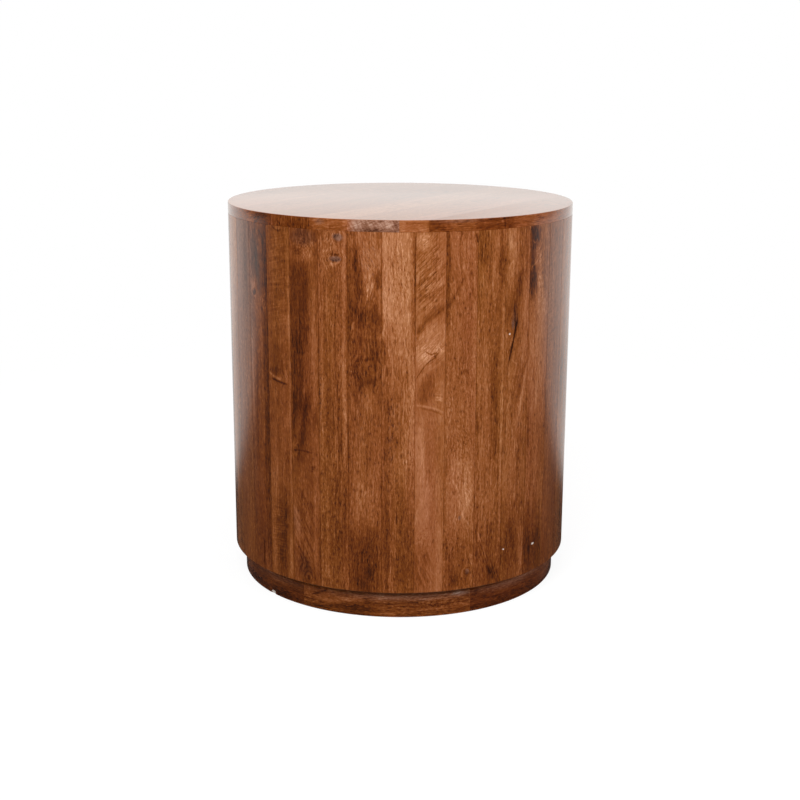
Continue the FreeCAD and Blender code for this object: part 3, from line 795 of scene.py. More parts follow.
def draw_stave_07(wood):
    wood.bend_round((14, 288), (20, 16), 0.5)
    wood.sway(1.2, 200)
    wood.grain(0.575, 0.6, bands=0.08, streaks=0.2, gold=0.5)
    wood.ripple((9, 436), (24, 60), 3.6, 0.095, rise=46, torn=0.3)
    wood.ripple((9.6, 352), (22, 34), 2.4, 0.07, rise=44, torn=0.3)
    wood.ripple((8, 68), (15, 30), 4.2, 0.07, rise=116, torn=0.5)
    each(wood.shade, ((6.6, 476), (12, 13), 0.13), ((12.2, 440), (8, 22), 0.06),
         ((13.2, 296), (5, 16), 0.1), ((12.8, 262), (5, 9), 0.08))
    wood.shade((6.2, 371), (7, 8), -0.12, turn=40)
    wood.shade((7, 336), (12, 16), 0.12, turn=-40)
    wood.shade((8.2, 297), (12, 25), -0.15, turn=-14, soft=0.8)
    # The strip from 4 to 15 degrees darkens the whole foot: painted shade, where the light falls off towards
    # the floor.
    each(wood.strip, (4.7, 14.1, 336, 378, 0.1, 2, 8), (4.8, 7.8, 185, 256, 0.12, 2, 30, 3),
         (8.2, 12, 190, 245, -0.04, 3, 16), (4.8, 9.4, 100, 185, 0.08, 4, 20),
         (11.6, 13.9, 40, 125, 0.09, 3, 12), (5, 9.4, 38, 96, -0.07, 3, 14),
         (4, 15, 30, 120, -0.05, 6, 50))
    each(wood.level_vein, ((4.7, 423), (9, 432), (14, 448), 3.2, -0.1, 3),
         ((4.7, 405), (9, 412), (14, 424), 4, -0.07, 3),
         ((4.7, 363), (8.6, 383), (14, 397), 6.5, -0.17, 3),
         ((7.6, 345), (9.6, 341), (11.6, 343.5), 1, -0.34, 2),
         ((10.3, 338), (11.3, 339.5), (11.9, 343), 1.1, -0.3, 1),
         ((4.9, 310), (7.6, 326), (11.4, 337), 1.2, -0.26, 2),
         ((5.4, 309), (8.4, 319), (13, 330), 2.6, 0.07, 3),
         ((5, 278.5), (9, 276), (14, 268), 1.4, 0.13, 2),
         ((6.5, 274.5), (10, 271.5), (13.4, 265), 1.2, -0.13, 3))
    each(wood.flecks, ((7, 476), (10, 11), 0.18, 1.6, 3.6, 30, 0.48),
         ((8.6, 344), (18, 22), 0.16, 1.1, 7, 42, 0.47), ((8.6, 348), (18, 22), -0.14, 0.9, 6, 42, 0.52),
         ((12.2, 348), (7, 7), 0.22, 1.5, 3.5, -40, 0.46),
         ((11.9, 287), (8, 10), 0.16, 5.5, 1.5, 78, 0.48),
         ((8.8, 110), (14, 22), -0.14, 2.2, 4, 60, 0.52))
    wood.flecks((9, 432), (22, 62), -0.21, 1.1, 7, 42, 0.52, torn=0.3)
    wood.flecks((9, 436), (22, 58), 0.13, 1.2, 7, 44, 0.52, torn=0.3)


def draw_stave_08(wood):
    wood.bend_round((22.1, 61), (9, 11), 0.9)
    wood.sway(2.5, 110)
    wood.grain(0.515, 0.95, gold=0.5)
    wood.ripple((19, 425), (20, 70), 5, 0.05, rise=106, stretch=6)
    each(wood.shade, ((18, 455), (16, 44), 0.05), ((18.6, 386), (2.5, 5), -0.18),
         ((19.4, 317), (2.4, 4), -0.09), ((21, 317), (2.6, 3.6), -0.09), ((17.4, 52), (10, 12), -0.12))
    wood.shade((19.3, 133), (2.6, 3.6), -0.12, grey=0.5)
    each(wood.strip, (13.9, 15.2, 372, 486, -0.13, 1.6, 18, 2), (15.2, 23.8, 128, 212, 0.09, 5, 20),
         (14, 24.2, 34, 108, -0.1, 5, 16), (23, 24.1, 44, 84, 0.09, 1.5, 6, 1))
    each(wood.vein, ((22.9, 486), (23.5, 480), (24.3, 471), 1.4, -0.24, 1),
         ((14.6, 393), (17.2, 413), (20.4, 434), 2.2, -0.13, 8),
         ((20.6, 405), (22, 422), (24.2, 436), 2, 0.08, 8),
         ((23.8, 116), (20.2, 138), (19.4, 160), 1.4, 0.12, 8),
         ((19.6, 154), (18.2, 172), (15.8, 188), 1.5, 0.14, 8),
         ((20.6, 54), (20.4, 60), (21.4, 67), 1.3, 0.16, 2))
    each(wood.flecks, ((19.5, 325), (16, 34), -0.2, 2, 8, 92, 0.54),
         ((15.8, 272), (5, 26), 0.22, 1.4, 7, 76, 0.46),
         ((19.5, 230), (18, 30), -0.18, 1.6, 3.6, 122, 0.52),
         ((20.5, 238), (14, 30), 0.14, 1.3, 6, 110, 0.52), ((22, 165), (10, 32), 0.16, 1.4, 6, 114),
         ((18.5, 92), (18, 30), 0.12, 1.5, 7, 75))
    wood.eye((22.2, 61), (3.4, 4.4), -0.16, 0.4)


def draw_stave_09(wood):
    wood.sway(1.5, 220)
    wood.grain(0.475, 0.95, gold=0.6, streaks=0.5, fibres=0.72)
    each(wood.shade, ((32.3, 430), (5, 8), 0.06), ((25, 246), (3, 28), -0.15), ((31, 52), (14, 14), -0.1),
         ((25.6, 78), (4, 10), -0.08))
    # The strip from 24 to 35 degrees darkens the whole foot: painted shade, where the light falls off towards
    # the floor.
    each(wood.strip, (24.9, 28.2, 442, 486, -0.12, 3, 12), (31.6, 34.2, 424, 462, -0.12, 3, 10),
         (30.4, 34, 350, 424, -0.05, 5, 22), (33.3, 34.3, 110, 400, 0.11, 2, 40, 3),
         (24.6, 28.6, 292, 352, 0.07, 5, 22), (29.2, 32.8, 190, 336, -0.08, 4, 30),
         (25.6, 28.4, 196, 290, 0.04, 4, 22), (25, 33, 120, 185, 0.05, 6, 22),
         (24, 35, 30, 130, -0.1, 6, 50))
    wood.vein((29, 405), (30, 445), (30.9, 484), 2.4, 0.11, 12)
    wood.level_vein((24.8, 122), (27.8, 88), (31.8, 56), 1.8, 0.1, 5)
    for step in range(5):
        left, drop = 24.6 + 1.7 * step, 9 * step
        points = [(left, 112 - drop), (left + 2.6, 80 - drop), (left + 6.4, 52 - drop)]
        wood.level_vein(*points, 2.4, -0.15, 5, 1)


def draw_stave_10(wood):
    wood.bend_round((37, 350), (12, 26), 0.6)
    wood.sway(1.5, 170)
    wood.grain(0.5, 0.9, gold=0.5)
    each(wood.shade, ((36.6, 474), (11, 18), 0.2), ((35.4, 446), (3.4, 4), -0.16))
    wood.shade((38.2, 376), (6, 16), -0.08, grey=0.25)
    wood.shade((37.6, 369), (3, 7), 0.05, grey=0.5)
    # The strip from 34 to 45 degrees darkens the whole foot: painted shade, where the light falls off towards
    # the floor.
    each(wood.strip, (34.5, 38.4, 408, 470, 0.07, 5, 14), (41.6, 44.4, 318, 436, 0.09, 5, 26),
         (35, 40, 140, 240, 0.06, 6, 30), (34, 45, 30, 140, -0.09, 6, 50),
         (34.8, 38.4, 36, 100, -0.06, 4, 18), (42, 44.3, 38, 104, 0.07, 3, 14))
    each(wood.vein, ((35, 368), (37.2, 405), (40.6, 440), 7, -0.09, 18),
         ((37.6, 352), (39.2, 398), (42.4, 444), 6.5, -0.17, 18),
         ((36, 319), (37.6, 345), (39.5, 376), 1.3, -0.42, 8, 1),
         ((36.9, 332), (38.2, 352), (39.7, 378), 2.6, -0.12, 8),
         ((40.1, 240), (42.4, 280), (44.5, 322), 2.6, 0.16, 12),
         ((39.6, 262), (41.4, 292), (43.2, 322), 3.4, -0.11, 14),
         ((35.5, 258), (36.6, 272), (37.6, 286), 1.5, 0.13, 5),
         ((37.6, 288), (38.6, 304), (39.6, 318), 1.6, 0.1, 5),
         ((40.4, 150), (41, 200), (40.6, 240), 2.5, -0.06, 24),
         ((41.6, 52), (39.2, 90), (37.6, 128), 4.2, -0.13, 16))
    wood.level_vein((37, 327), (38.3, 322), (39.8, 318), 1.5, 0.15, 2)
    wood.flecks((36.8, 440), (11, 34), 0.15, 1.8, 6.5, 72, 0.48)
    wood.chip((36.35, 357.4), (1.4, 1.4))
    wood.chip((35.75, 81), (1.3, 1.1))


def draw_stave_11(wood):
    wood.sway(2, 180)
    wood.grain(0.48, 0.85, gold=0.5)
    each(wood.shade, ((52.6, 476), (7, 14), 0.1), ((47.4, 198), (3, 8), -0.08),
         ((49.4, 148), (3.5, 16), -0.08), ((47.8, 72), (3.5, 22), -0.08))
    wood.shade((46.6, 474), (13, 19), -0.3, torn=1.8, soft=0.8)
    wood.shade((45.6, 448), (6, 16), -0.2, torn=1.8, soft=0.8)
    wood.shade((46.2, 418), (10, 25), -0.28, torn=1.8, soft=0.8)
    # A grey veil near the drum's edge: painted reflection of the pale surroundings.
    wood.shade((54.6, 430), (14, 90), 0, grey=0.2)
    # The strip from 44.6 to 54.6 degrees darkens the whole foot: painted shade, where the light falls off
    # towards the floor.
    each(wood.strip, (45, 54, 400, 486, -0.06, 3, 16), (44.8, 54, 250, 400, 0.1, 6, 40),
         (44.6, 54.6, 30, 118, -0.27, 6, 40))
    wood.vein((45.4, 205), (45.6, 230), (45.3, 254), 1.8, -0.16)
    each(wood.level_vein, ((45.4, 470), (46.8, 465), (48.2, 471), 1.1, 0.3, 2, 1),
         ((45.2, 436), (47, 439), (48.6, 446), 1.3, 0.24, 2))
    each(wood.flecks, ((48.8, 452), (12, 22), 0.22, 1.5, 6, 50, 0.48),
         ((49.8, 420), (6, 30), 0.26, 1.6, 6, 100, 0.44), ((51, 400), (14, 60), 0.12, 1.4, 6, 20))
    wood.chip((49.8, 75.3), (3.2, 1.6))


def draw_stave_12(wood):
    wood.sway(2, 200)
    wood.grain(0.42, 0.8)
    # A grey veil near the drum's edge, strong high up and fading lower down: painted reflection of the pale
    # surroundings.
    wood.shade((61, 420), (70, 120), 0, grey=0.25)
    wood.shade((61, 200), (70, 160), 0, grey=0.08)
    wood.strip(55.2, 60, 34, 90, -0.08)
    wood.level_vein((55.8, 217), (56.4, 221), (57.4, 223), 1.2, -0.2, 2)
    wood.flecks((57, 380), (14, 120), 0.12, 1.6, 6, 30)


def draw_plain_stave(wood, dice):
    """A stave that the front view doesn't show: grain of its own, and now and then a knot or a figure."""
    height = dice.uniform(90, 450)
    side = dice.uniform(-3.0, 3.0)
    knotty = dice.random() < 0.3
    if knotty:
        wood.bend_round((side, height), (10, 14), 0.9)
    wood.sway(dice.uniform(1.2, 2.6), dice.uniform(120, 220))
    tone, contrast = dice.uniform(0.38, 0.60), dice.uniform(0.8, 1.1)
    wood.grain(tone, contrast, rise=dice.uniform(88.6, 91.4), gold=dice.uniform(0.3, 0.9))
    if knotty:
        wood.eye((side, height), (dice.uniform(3, 5), dice.uniform(3, 5)))
        wood.flecks((side, height), (16, 24), 0.18)
    wood.shade((dice.uniform(-3, 3), dice.uniform(100, 450)), (16, 60), dice.uniform(-0.24, 0.16))
    wood.strip(-5, dice.uniform(-3.0, 0.0), dice.uniform(60, 250), 480, dice.uniform(-0.14, 0.12), 4, 40)
    wood.strip(dice.uniform(0.0, 3.0), 5, 20, dice.uniform(150, 400), dice.uniform(-0.14, 0.12), 4, 40)
    if dice.random() < 0.5:
        place = (dice.uniform(-2, 2), dice.uniform(300, 460))
        wood.ripple(place, (20, 60), dice.uniform(5, 9), 0.07, dice.choice((-1, 1)) * dice.uniform(35, 65))
    if dice.random() < 0.5:
        low = dice.uniform(60, 380)
        points = [(dice.uniform(-3, 3), level) for level in (low, low + 45, low + 90)]
        wood.vein(*points, dice.uniform(2, 5), dice.uniform(-0.2, -0.1), 20)
    # Painted shade: the foot darkens, where the light falls off towards the floor.
    wood.strip(-6, 6, 20, 120, -0.06, 4, 40)


FRONT_DRAWINGS = {
    36: draw_stave_36, 1: draw_stave_01, 2: draw_stave_02, 3: draw_stave_03, 4: draw_stave_04,
    5: draw_stave_05, 6: draw_stave_06, 7: draw_stave_07, 8: draw_stave_08, 9: draw_stave_09,
    10: draw_stave_10, 11: draw_stave_11, 12: draw_stave_12,
}


def make_staves():
    for node in nodes_called("stave_"):
        number = int(node.split("_")[1])
        piece, middle, half = stave_mesh(node)
        material, tree, shader = new_material(f"{node}_lacquered")
        sheet = upright_sheet(tree, middle, DRUM_RADIUS)
        if number in FRONT_DRAWINGS:
            wood = Wood(material, sheet, number, on_drum(middle))
            FRONT_DRAWINGS[number](wood)
        else:
            wood = Wood(material, sheet, number, on_drum(0.0))
            draw_plain_stave(wood, random.Random(number))
        for side in (-1, 1):
            wood.edge(side * half * DRUM_RADIUS, SEAM_WIDTH, SEAM_SHADE)
        take_place(piece, node, wood.finish(shader))


# The top. Its boards run at an angle, and a board's rim stands upright.

TOP_BOARD_TURN = 57.0
BOARD_POINTS = 48
TOP_EDGE = 1.2 * MM
TOP_EDGE_STEPS = 4
RIM_DEPTH = 0.8 * MM
TOP_ROUGHNESS = 0.28
TOP_SHEEN = 0.9
TOP_WOOD_ROUGHNESS = 0.18
TOP_RELIEF = 0.25
BOARD_TONES = (0.54, 0.63, 0.58, 0.66, 0.53, 0.59, 0.66, 0.61)


def board_loop(start, end, radius, height):
    """The outline of one board at one height: two stretches of the top's circle, joined by its long sides."""
    low = math.asin(max(-1.0, min(1.0, start / radius)))
    high = math.asin(max(-1.0, min(1.0, end / radius)))
    turns = [low + (high - low) * step / BOARD_POINTS for step in range(BOARD_POINTS + 1)]
    right = [Vector((radius * math.cos(turn), radius * math.sin(turn), height)) for turn in turns]
    left = [Vector((-point.x, point.y, height)) for point in reversed(right)]
    rotate = Matrix.Rotation(math.radians(TOP_BOARD_TURN), 3, "Z")
    return [rotate @ point for point in right + left]


def board_mesh(node):
    """One board with a rounded upper rim, its middle line's distance from the axis, and half its width."""
    low, high = (corner.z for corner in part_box(node))
    rotate = Matrix.Rotation(-math.radians(TOP_BOARD_TURN), 3, "Z")
    offsets = [(rotate @ point).y for point in points_of(node)]
    start, end = min(offsets), max(offsets)
    rows = [(DRUM_RADIUS, low)] + rounded(DRUM_RADIUS, high, TOP_EDGE, TOP_EDGE_STEPS)
    loops = [board_loop(start, end, radius, height) for radius, height in rows]
    return loft(f"{node}_wood", loops), (start + end) / 2, (end - start) / 2


# What the photo shows of each board's rim, by front angle and height. The last two boards' rims
# are at the back.


def draw_rim_1(rim):
    rim.grain(0.41, 0.75, rise=2, gold=0.1)
    each(rim.shade, ((16, 493), (6, 5), 0.08), ((32.6, 495), (2, 2.4), 0.16), ((36, 488), (9, 3), -0.08))
    # Painted highlight: a pale grey band along the rim's upper edge, where the rounded edge catches the
    # light.
    rim.shade((18, 498), (40, 3), 0.06, grey=0.3)
    each(rim.strip, (8.5, 13.4, 480, 502, -0.09, 3, 4), (23.5, 37, 480, 502, -0.11, 6, 4),
         (39, 60, 480, 502, 0.07, 5, 4))
    rim.vein((33.6, 484), (33.5, 492), (33.2, 500), 1, -0.2, 1)


def draw_rim_2(rim):
    rim.grain(0.55, 0.65, rise=4, gold=0.4)
    each(rim.shade, ((0.6, 494), (7, 9), 0.12), ((6.4, 489), (6, 4), 0.08), ((8.9, 494), (5, 12), -0.12))


def draw_rim_3(rim):
    rim.grain(0.57, 0.7, rise=20, gold=0.2)
    rim.ripple((-8, 493), (44, 24), 4, 0.1, rise=122, torn=0.2, stretch=3)
    each(rim.shade, ((-12.6, 494), (10, 9), 0.08), ((-4.2, 494), (9, 9), 0.14),
         ((-7.4, 487), (22, 6), -0.2), ((-1.4, 492), (5, 8), -0.1))
    rim.grey = rim.across.smooth(-17 * RIM_DEGREE, -13 * RIM_DEGREE) * 0.55


def draw_rim_4(rim):
    rim.grain(0.51, 0.85, rise=8, gold=0.3)
    each(rim.shade, ((-28, 492), (5, 9), -0.1), ((-20, 488), (9, 3), -0.06), ((-16.4, 495), (5, 6), 0.12))
    rim.shade((-25, 496), (9, 5), 0.08, grey=0.3)
    rim.vein((-22, 486), (-22, 493), (-22, 499), 1, 0.08, 1)


def draw_rim_5(rim):
    rim.grain(0.29, 0.9, gold=0.3)
    each(rim.shade, ((-39, 494), (10, 6), 0.06), ((-36.4, 492), (3, 9), -0.08),
         ((-34.2, 499), (5, 3), 0.12), ((-31.6, 490), (8, 5), -0.07))
    rim.vein((-43.2, 486), (-43.2, 493), (-43.2, 499), 1, 0.12, 1)


def draw_rim_6(rim):
    rim.grain(0.38, 0.8, rise=10, gold=0.3)
    rim.strip(-52.6, -45, 480, 502, -0.17, 5, 4)


def draw_rim_plain(rim):
    rim.grain(0.42, 0.6, rise=6)


RIM_DEGREE = DRUM_RADIUS * math.pi / 180
FRONT_RIMS = (draw_rim_1, draw_rim_2, draw_rim_3, draw_rim_4, draw_rim_5, draw_rim_6)
RIM_DRAWINGS = (*FRONT_RIMS, draw_rim_plain, draw_rim_plain)


def draw_board(wood, number, half):
    """The face of a board: its own grain, with rings and curl where the dice put them."""
    dice = random.Random(100 + number)
    wood.sway(3, 240)
    wood.grain(BOARD_TONES[number - 1], 0.7, bands=0.22, gold=dice.uniform(0.3, 0.8))
    width = half / MM
    wood.rings((dice.uniform(-0.3, 0.3) * width, dice.uniform(-90, 90)), (width * 0.8, 120), 8, -0.13)
    wood.ripple((0, dice.uniform(-100, 100)), (width, 60), 8, 0.07, rise=dice.uniform(20, 50))
    for side in (-1, 1):
        wood.edge(side * half, SEAM_WIDTH, SEAM_SHADE)


def make_top():
    for number, node in enumerate(nodes_called("top_board_"), start=1):
        piece, middle, half = board_mesh(node)
        material, tree, shader = new_material(f"{node}_lacquered")
        sheet = flat_sheet(tree, TOP_BOARD_TURN, middle, TABLE_HEIGHT)
        wood = Wood(material, sheet, 50 + number, lambda at: (at[0] * MM, at[1] * MM))
        draw_board(wood, number, half)
        rim = Wood(material, upright_sheet(tree, 0.0, DRUM_RADIUS), 90 + number, on_drum(0.0))
        RIM_DRAWINGS[number - 1](rim)
        on_rim = rim.depth.smooth(RIM_DEPTH, 0.0)
        wood.blend_in(rim, on_rim)
        lacquer = on_rim.times_plus(LACQUER_ROUGHNESS - TOP_ROUGHNESS, TOP_ROUGHNESS)
        sheen = on_rim.times_plus(WOOD_SHEEN - TOP_SHEEN, TOP_SHEEN)
        wood.finish(shader, lacquer, sheen, TOP_WOOD_ROUGHNESS, TOP_RELIEF)
        take_place(piece, node, material)


# The plinth.

PLINTH_ROUND = 2.5 * MM
PLINTH_ROUND_STEPS = 5
PLINTH_ROWS = 120
PLINTH_WIDTH = 40 * MM
CHIP_DEGREES = -50.5
CHIP_HALF_WIDTH = 5.5 * MM
CHIP_HEIGHT = 5 * MM
CHIP_DEPTH = 1.2 * MM


def plinth_loop(turn, outer, low, high):
    """The section of a plinth segment at one front angle. The lower corner gives way where it is chipped."""
    side = (turn - math.radians(CHIP_DEGREES)) * outer / CHIP_HALF_WIDTH
    chip = CHIP_DEPTH * max(0.0, 1 - side * side)
    inner = outer - PLINTH_WIDTH
    corners = [(inner, high), (inner, low), (outer - chip, low)]
    corners += [(outer - chip * 0.5, low + CHIP_HEIGHT * 0.6), (outer, low + CHIP_HEIGHT)]
    corners += rounded(outer, high, PLINTH_ROUND, PLINTH_ROUND_STEPS)
    return [polar(radius, turn, height) for radius, height in corners]


def on_plinth(middle, radius):
    """Turns a front angle in degrees and a height in millimetres into metres on a plinth segment."""
    return lambda at: (at[1] * MM, (math.radians(at[0]) - middle) * radius)


def draw_plinth_front(wood):
    wood.grain(0.36, 1, gold=0.5)
    each(wood.shade, ((-10.5, 21), (8, 8), -0.13), ((-5, 24), (5, 22), 0.07), ((-3, 4), (4, 10), 0.12))
    # Painted highlight: the two greyish lighter patches high up and the first strip, a light line along the
    # rounded upper edge, stand for light that the edge catches.
    wood.shade((21.5, 27.5), (4, 16), 0.16, grey=0.5)
    wood.shade((4, 29.5), (9, 120), 0.14, grey=0.3)
    each(wood.strip, (-40, 40, 29.2, 34, 0.1, 1.5, 8, 1), (-34, -9, -4, 12, -0.14, 5, 12, 2),
         (-22, -7, 9, 20, -0.06, 4, 12, 2))
    each(wood.vein, ((-32, 18), (-29, 22.5), (-25, 30), 1.8, -0.24, 4),
         ((-28, 13), (-20, 18), (-13, 24), 3.2, 0.13, 8),
         ((-26, 9), (-18, 11.5), (-11, 15), 2.2, -0.12, 8))
    each(wood.flecks, ((14, 16), (11, 48), 0.16, 3.4, 4, 90, 0.46),
         ((12, 19), (9, 40), -0.16, 2.2, 6, 90, 0.52))


def draw_plinth_left(wood):
    wood.grain(0.26, 0.75, gold=0.4)
    # The second patch lightens the far end against the shade of the drum's overhang: painted light. The
    # greyish patch high up and the second strip, a light line along the upper edge, are painted highlight.
    # The first strip darkens the foot: painted shade.
    each(wood.shade, ((-46, 9), (8, 28), -0.09), ((-72, 14), (16, 24), 0.14))
    wood.shade((-50, 28), (9, 84), 0.13, grey=0.2)
    each(wood.strip, (-75, -34, 0, 11, -0.08, 6, 10), (-90, -20, 29.2, 34, 0.08, 1.5, 8, 1))
    wood.chip((CHIP_DEGREES, 3), (2.6, 5))


def draw_plinth_right(wood):
    wood.grain(0.26, 0.75, gold=0.1)
    wood.shade((27.4, 26), (3, 4.5), -0.16)
    # The greyish patch high up and the second strip, a light line along the upper edge, are painted
    # highlight. The lower patch at 68 degrees lightens the end against the shade of the drum's overhang:
    # painted light. The first strip darkens the foot: painted shade.
    wood.shade((46, 28), (10, 96), 0.17, grey=0.3)
    wood.shade((68, 14), (18, 40), 0.14, grey=0.15)
    each(wood.strip, (25, 75, 0, 11, -0.08, 6, 10), (20, 90, 29.2, 34, 0.12, 1.5, 8, 1))


def draw_plinth_rear(wood):
    wood.grain(0.34, 1)


PLINTH_DRAWINGS = {6: draw_plinth_front, 5: draw_plinth_left, 1: draw_plinth_right}


def make_plinth():
    for number, node in enumerate(nodes_called("plinth_segment_"), start=1):
        outer = max(math.hypot(point.x, point.y) for point in points_of(node))
        low, high = (corner.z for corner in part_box(node))
        middle, half = span_of(node)
        turns = [middle + half * (2 * row / PLINTH_ROWS - 1) for row in range(PLINTH_ROWS + 1)]
        piece = loft(f"{node}_wood", [plinth_loop(turn, outer, low, high) for turn in turns])
        material, tree, shader = new_material(f"{node}_lacquered")
        wood = Wood(material, level_sheet(tree, middle, outer), 70 + number, on_plinth(middle, outer))
        wood.sway(1.5, 90)
        PLINTH_DRAWINGS.get(number, draw_plinth_rear)(wood)
        take_place(piece, node, wood.finish(shader))


# Pieces that stay as the frame has them, with finishes of their own.


def cloud(tree, size, detail=2.0, roughness=0.5):
    """Noise over a piece, in cells of a size in metres."""
    return noise(local(turned_position(tree), (0, 0, 0), size), detail, roughness)


def finish_plainly(tree, shader, tone, stops, roughness, relief):
    """Colours a surface by a tone from 0 to 1, and lets the tone stand up as relief."""
    plug(tree, shader.inputs["Base Color"], ramp(tone, stops))
    plug(tree, shader.inputs["Roughness"], tone.times_plus(0.2, roughness - 0.1))
    bump(tree, shader, "Normal", tone, relief, 0.5)


def plywood_material():
    """Plywood: a pale rotary-cut face, and layers that alternate on its edge."""
    material, tree, shader = new_material("plywood")
    x, y, z = parts_of(turned_position(tree))
    wander = cloud(tree, (0.3, 0.3, 0.3))
    grain = noise(vector_of(tree, wander.times_plus(6.0, x * 90.0), y * 5.0, z * 90.0), 4.0, 0.6)
    layers = (z * (math.pi / (2 * MM))).math("SINE").smooth(-0.3, 0.3)
    stops = ((0.2, (0.30, 0.17, 0.08)), (0.5, (0.52, 0.35, 0.19)), (0.8, (0.66, 0.49, 0.30)))
    finish_plainly(tree, shader, layers.times_plus(0.12, grain * 0.8), stops, 0.7, 0.2 * MM)
    return material


def block_material():
    """Raw softwood, sawn."""
    material, tree, shader = new_material("block_wood")
    stops = ((0.3, (0.42, 0.25, 0.11)), (0.7, (0.64, 0.44, 0.24)))
    finish_plainly(tree, shader, cloud(tree, (0.012, 0.012, 0.16), 4.0, 0.6), stops, 0.75, 0.3 * MM)
    return material


def felt_material():
    """Dark brown needled felt."""
    material, tree, shader = new_material("felt")
    stops = ((0.3, (0.030, 0.022, 0.018)), (0.7, (0.075, 0.055, 0.045)))
    finish_plainly(tree, shader, cloud(tree, (0.0007, 0.0007, 0.0007), 4.0, 0.7), stops, 0.95, 0.3 * MM)
    shader.inputs["Sheen Weight"].default_value = 0.4
    shader.inputs["Sheen Roughness"].default_value = 0.5
    return material


def zinc_material():
    """Zinc-plated steel."""
    material, tree, shader = new_material("zinc_plate")
    stops = ((0.3, (0.46, 0.45, 0.41)), (0.7, (0.66, 0.65, 0.60)))
    shader.inputs["Metallic"].default_value = 1.0
    finish_plainly(tree, shader, cloud(tree, (0.0012, 0.0012, 0.0012), 3.0, 0.6), stops, 0.38, 0.02 * MM)
    return material


def dress_kept_nodes():
    """Gives the panels, blocks, pads and screws their finishes."""
    finishes = (
        (plywood_material(), "plywood", ("upper_panel", "lower_panel", "base_disc")),
        (block_material(), "block_wood", ("plinth_glue_blocks",)),
        (felt_material(), "pad_felt", ("felt_pads",)),
        (zinc_material(), "screw_steel", ("top_screws", "base_screws")),
    )
    for material, slot, nodes in finishes:
        for node in nodes:
            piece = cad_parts[node]
            piece.data.materials.clear()
            piece.data.materials.append(material)


# The stage: a pale floor, soft lamps and the camera. The lacquer sees the floor as a painted reflection: dim
# near the table, rising to white behind it.

WHITE = (1.0, 1.0, 1.0, 1.0)
MIRRORED_WHITE = (1.0, 0.977, 0.952, 1.0)
FLOOR_HALF = 8.0
FLOOR_GREY = (0.62, 0.62, 0.62, 1.0)
FLOOR_SHADOW_GREY = (0.17, 0.17, 0.17, 1.0)
FLOOR_GLOW = 0.87
FLOOR_FADE_START = 0.8
FLOOR_FADE_END = 1.5
FLOOR_CELL = 0.025
# The glow that the lacquer sees in the floor, a painted reflection: two rises behind the table in metres, the
# share of the first, and the dim level before and beside the table.
MIRRORED_GLOW_NEAR = (0.24, 0.52)
MIRRORED_GLOW_FAR = (0.9, 2.0)
MIRRORED_GLOW_NEAR_SHARE = 0.80
MIRRORED_GLOW_DIM = 0.04
STUDIO_DIM = 0.06
STUDIO_TURN_START = 0.40
STUDIO_TURN_END = 0.66
STUDIO_LEVEL = 0.62

CAMERA_SIDE = 0.0006
CAMERA_DISTANCE = 1.8291
CAMERA_HEIGHT = 0.6970
CAMERA_PITCH = 0.2511
CAMERA_ROLL = 0.0040
CAMERA_LENS = 62.40
SENSOR_WIDTH = 36.0


def ray_kinds(tree):
    """1 for the camera's rays, and 1 for glossy and transmitted rays."""
    rays = tree.nodes.new("ShaderNodeLightPath")
    camera, glossy, through = (
        Signal(tree, rays.outputs[f"Is {kind} Ray"]) for kind in ("Camera", "Glossy", "Transmission")
    )
    return camera, glossy.math("MAXIMUM", through)


def light_of(tree, kind, strength, color=WHITE):
    """A background or emission of a strength."""
    return output_of(tree, kind, {"Color": color, "Strength": strength})


def shader_mix(tree, factor, first, second):
    return output_of(tree, "MixShader", {0: factor, 1: first, 2: second})


def make_world():
    """White to the camera. The lacquer sees it white behind the table, and dim beside and before it."""
    world = bpy.data.worlds.new("studio")
    bpy.context.scene.world = world
    world.use_nodes = True
    tree = world.node_tree
    tree.nodes.clear()
    camera, mirrored = ray_kinds(tree)
    x, y, _ = parts_of(output_of(tree, "TexCoord", {}, "Generated"))
    level = (x * x + y * y).math("SQRT").math("MAXIMUM", MM)
    behind = (y / level).smooth(STUDIO_TURN_START, STUDIO_TURN_END)
    studio = light_of(tree, "Background", STUDIO_LEVEL)
    strength = behind.times_plus(1.0 - STUDIO_DIM, STUDIO_DIM)
    reflected = light_of(tree, "Background", strength, MIRRORED_WHITE)
    white = light_of(tree, "Background", 1.0)
    seen = shader_mix(tree, camera, shader_mix(tree, mirrored, studio, reflected), white)
    output = tree.nodes.new("ShaderNodeOutputWorld")
    plug(tree, output.inputs["Surface"], seen)


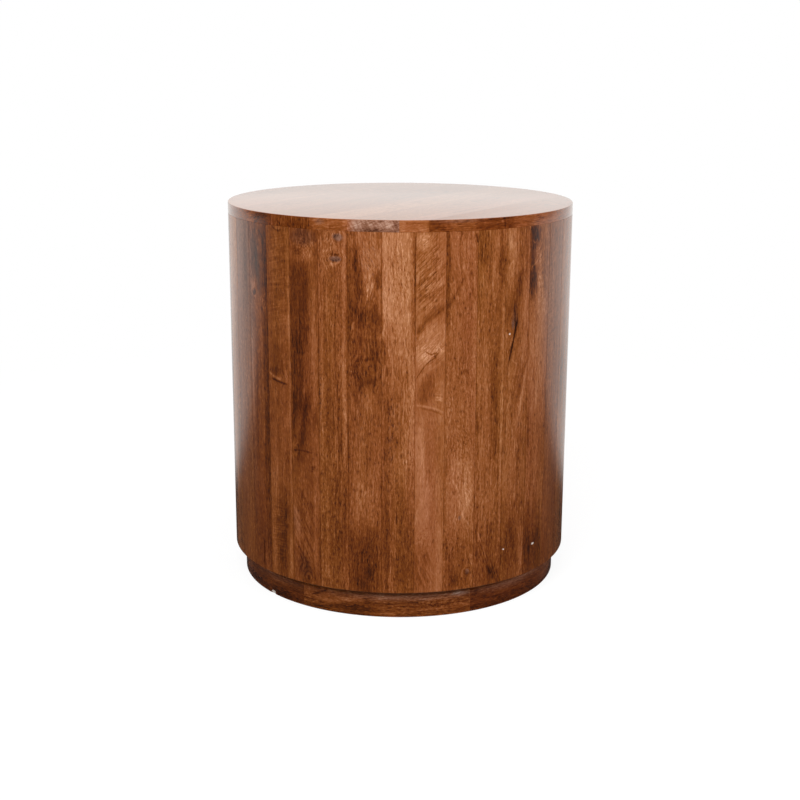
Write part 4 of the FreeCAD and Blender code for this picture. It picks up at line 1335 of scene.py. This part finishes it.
def floor_material():
    """Pale and matt. The camera sees it white but for the table's shadow. The lacquer sees a painted
    reflection: a glow, dim near the table and rising to white behind it.
    """
    material, tree, shader = new_material("floor_paint")
    surface = shader.outputs[0].links[0].to_socket
    tree.nodes.remove(shader)
    camera, mirrored = ray_kinds(tree)
    place = turned_position(tree)
    y = parts_of(place)[1]
    roughness = cloud(tree, (FLOOR_CELL, FLOOR_CELL, FLOOR_CELL)).times_plus(0.2, 0.4)
    matt = output_of(tree, "BsdfDiffuse", {"Color": FLOOR_GREY, "Roughness": roughness})
    shadow = output_of(tree, "BsdfDiffuse", {"Color": FLOOR_SHADOW_GREY, "Roughness": roughness})
    lit = output_of(tree, "AddShader", {0: shadow, 1: light_of(tree, "Emission", FLOOR_GLOW)})
    fade = length_of(place).smooth(FLOOR_FADE_START, FLOOR_FADE_END)
    seen = shader_mix(tree, fade, lit, light_of(tree, "Emission", 1.0))
    # Painted reflection: the floor glows for the lacquer, dim near the table and rising to white behind it.
    near = y.smooth(*MIRRORED_GLOW_NEAR) * (MIRRORED_GLOW_NEAR_SHARE - MIRRORED_GLOW_DIM)
    rise = near + y.smooth(*MIRRORED_GLOW_FAR) * (1.0 - MIRRORED_GLOW_NEAR_SHARE)
    mirrored_glow = light_of(tree, "Emission", rise + MIRRORED_GLOW_DIM, MIRRORED_WHITE)
    plug(tree, surface, shader_mix(tree, camera, shader_mix(tree, mirrored, matt, mirrored_glow), seen))
    return material


def make_floor():
    mesh = bpy.data.meshes.new("floor")
    signs = ((-1, -1), (1, -1), (1, 1), (-1, 1))
    mesh.from_pydata([(x * FLOOR_HALF, y * FLOOR_HALF, 0.0) for x, y in signs], [], [(0, 1, 2, 3)])
    mesh.materials.append(floor_material())
    floor = add_object("floor", mesh)


def make_lamp(name, place, size, power):
    """A soft lamp, so wide and so high, that points at the table's middle and isn't seen in its gloss."""
    lamp = bpy.data.lights.new(name, "AREA")
    lamp.shape = "RECTANGLE"
    lamp.size, lamp.size_y = size
    lamp.energy = power
    holder = add_object(name, lamp)
    holder.location = place
    aim = Vector((0.0, 0.0, TABLE_HEIGHT / 2)) - Vector(place)
    holder.rotation_euler = aim.to_track_quat("-Z", "Y").to_euler()
    holder.visible_camera = False
    holder.visible_glossy = False


def make_camera():
    data = bpy.data.cameras.new("camera")
    data.lens = CAMERA_LENS
    data.sensor_width = SENSOR_WIDTH
    camera = add_object("camera", data)
    pitch = Euler((math.pi / 2 - CAMERA_PITCH, 0.0, 0.0)).to_matrix()
    turn = pitch @ Matrix.Rotation(CAMERA_ROLL, 3, "Z")
    place = Matrix.Translation((CAMERA_SIDE, -CAMERA_DISTANCE, CAMERA_HEIGHT))
    camera.matrix_world = place @ turn.to_4x4()
    bpy.context.scene.camera = camera


make_camera()
make_staves()
make_top()
make_plinth()
dress_kept_nodes()
make_world()
make_floor()
make_lamp("front_softbox", (-0.55, -1.7, 1.75), (1.4, 1.4), 26.0)
make_lamp("right_softbox", (1.5, -1.2, 1.5), (1.2, 1.2), 13.5)
make_lamp("rear_softbox", (0.0, 2.4, 1.6), (2.4, 1.2), 7.0)
bpy.context.scene.view_settings.view_transform = "Standard"
